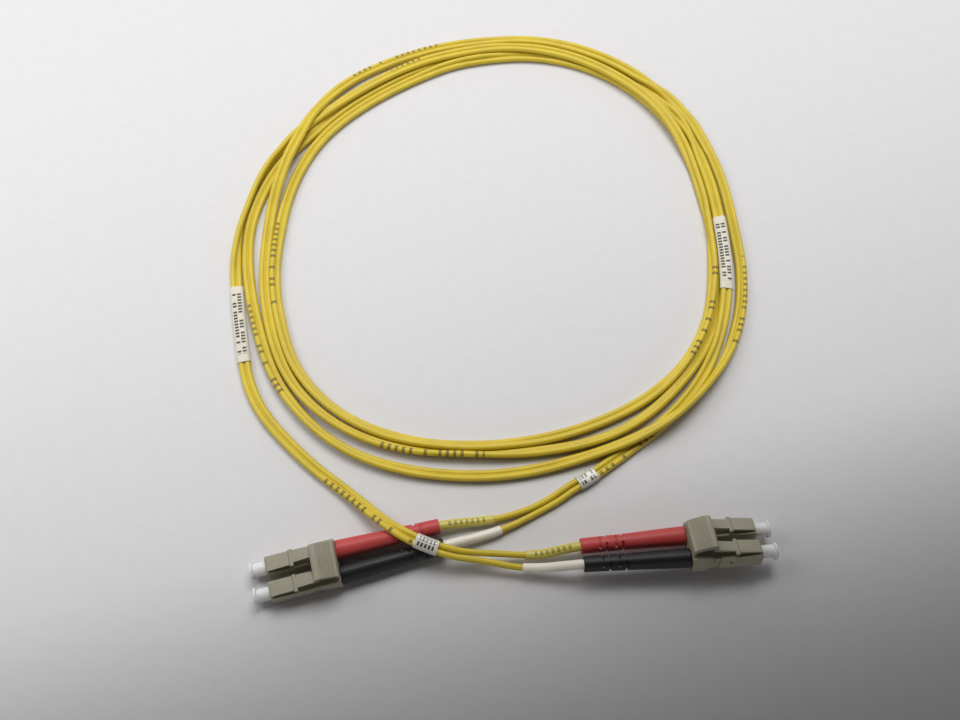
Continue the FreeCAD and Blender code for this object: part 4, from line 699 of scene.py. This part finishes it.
def build_wrap(node, slot, first, last, radius):
    def wrap_attributes(rows):
        arc, side, along = [], [], []
        for row in rows:
            gaps = np.linalg.norm(MID[first:last + 1] - row.mean(axis=0), axis=1)
            k = int(np.argmin(gaps)) + first
            arc += [ARC[k]] * len(row)
            side += list((row - MID[k]) @ ACROSS[k])
            along += [(k - first) / (last - first)] * len(row)
        return {"arc": arc, "sideness": side, "along": along}

    def section(i, r):
        return stadium(MID[i], ACROSS[i], NORMAL[i], HALF_GAP[i], r)

    samples = range(first, last + 1)
    # the outside dips by up to 0.01 mm from sample to sample
    outer = [section(i, radius - 0.01 * math.sin(i * 1.7) ** 2) for i in samples]
    inner = [section(i, WRAP_BORE) for i in samples]
    dress(ring_body("vis_" + node, outer, inner, wrap_attributes), slot, node)


for node, slot, first, last, radius in WRAPS:
    build_wrap(node, slot, sample_at(first), sample_at(last), radius)


# ------------------------------------------------------------- floor and light
def panel(name, x, y_low, y_high):
    """Flat rectangle in XY, reaching x to either side."""
    mesh = bpy.data.meshes.new(name)
    corners = [(-x, y_low, 0), (x, y_low, 0), (x, y_high, 0), (-x, y_high, 0)]
    mesh.from_pydata(corners, [], [(0, 1, 2, 3)])
    return link_object(name, mesh)


def panel_material(ob, name):
    material = bpy.data.materials.new(name)
    material.use_nodes = True
    ob.data.materials.append(material)
    return material.node_tree, material.node_tree.nodes["Principled BSDF"].inputs


def build_floor():
    floor = panel("floor", x=1.6, y_low=-1.6, y_high=1.6)
    tree, inputs = panel_material(floor, "floor_paper")
    noise = tree.nodes.new("ShaderNodeTexNoise")
    noise.inputs["Scale"].default_value = 900
    ramp = tree.nodes.new("ShaderNodeValToRGB")
    ramp.color_ramp.elements[0].color = (0.66, 0.65, 0.655, 1)
    ramp.color_ramp.elements[1].color = (0.70, 0.69, 0.695, 1)
    tree.links.new(noise.outputs["Fac"], ramp.inputs["Fac"])
    tree.links.new(ramp.outputs["Color"], inputs["Base Color"])
    inputs["Roughness"].default_value = 0.8
    inputs["Specular IOR Level"].default_value = 0.2
    floor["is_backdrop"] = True


def area_light(name, location, target, size, power, colour=(1, 1, 1)):
    light = bpy.data.lights.new(name, "AREA")
    light.shape = "DISK"
    light.size = size
    light.energy = power
    light.color = colour
    ob = link_object(name, light)
    ob.location = location
    aim = Vector(target) - Vector(location)
    ob.rotation_euler = aim.to_track_quat("-Z", "Y").to_euler()


def build_flag():
    """Level flag under the key light: shades the camera's side (-Y), more so towards +X."""
    flag = panel("flag", x=0.35, y_low=-0.20, y_high=0)
    flag.location = (0.0, -0.043, 0.10)
    flag.rotation_euler = (0, 0, math.radians(15))
    flag.visible_camera = False
    _, inputs = panel_material(flag, "flag_cloth")
    inputs["Base Color"].default_value = (0.02, 0.02, 0.02, 1)
    inputs["Roughness"].default_value = 0.9
    flag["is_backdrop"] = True


def build_world():
    world = bpy.data.worlds.new("studio")
    world.use_nodes = True
    background = world.node_tree.nodes["Background"].inputs
    background["Color"].default_value = (1, 1, 1, 1)
    background["Strength"].default_value = 0.54
    bpy.context.scene.world = world


def build_camera(height_mm, tilt):
    """Camera above the table origin before SHIFT, tilted from straight down towards +Y."""
    camera = bpy.data.cameras.new("camera")
    camera.lens = 33.75
    camera.sensor_width = 36.0
    camera.clip_start = 0.005
    ob = link_object("camera", camera)
    ob.location = ((SHIFT + np.array([0.0, 0.0, height_mm])) * MM).tolist()
    ob.rotation_euler = (math.radians(tilt), 0, 0)
    bpy.context.scene.camera = ob


build_floor()
area_light("key", location=(0.08, 0.38, 0.80), target=(0.0, 0.02, 0.0), size=0.55, power=4.7)
area_light("fill", location=(-0.42, 0.05, 0.40), target=(-0.05, 0.0, 0.0), size=0.4, power=0.9,
           colour=(1.0, 0.99, 0.98))
build_flag()
build_world()
build_camera(height_mm=223.79, tilt=25.163)
bpy.context.scene.view_settings.view_transform = "Standard"


def plain(x):
    """Bounds as plain dicts, lists and floats."""
    if isinstance(x, dict):
        return {k: plain(v) for k, v in x.items()}
    if isinstance(x, (list, tuple, np.ndarray, Vector)):
        return [plain(v) for v in x]
    return float(x)


{"frame": plain(start_bounds), "visual": plain(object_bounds())}
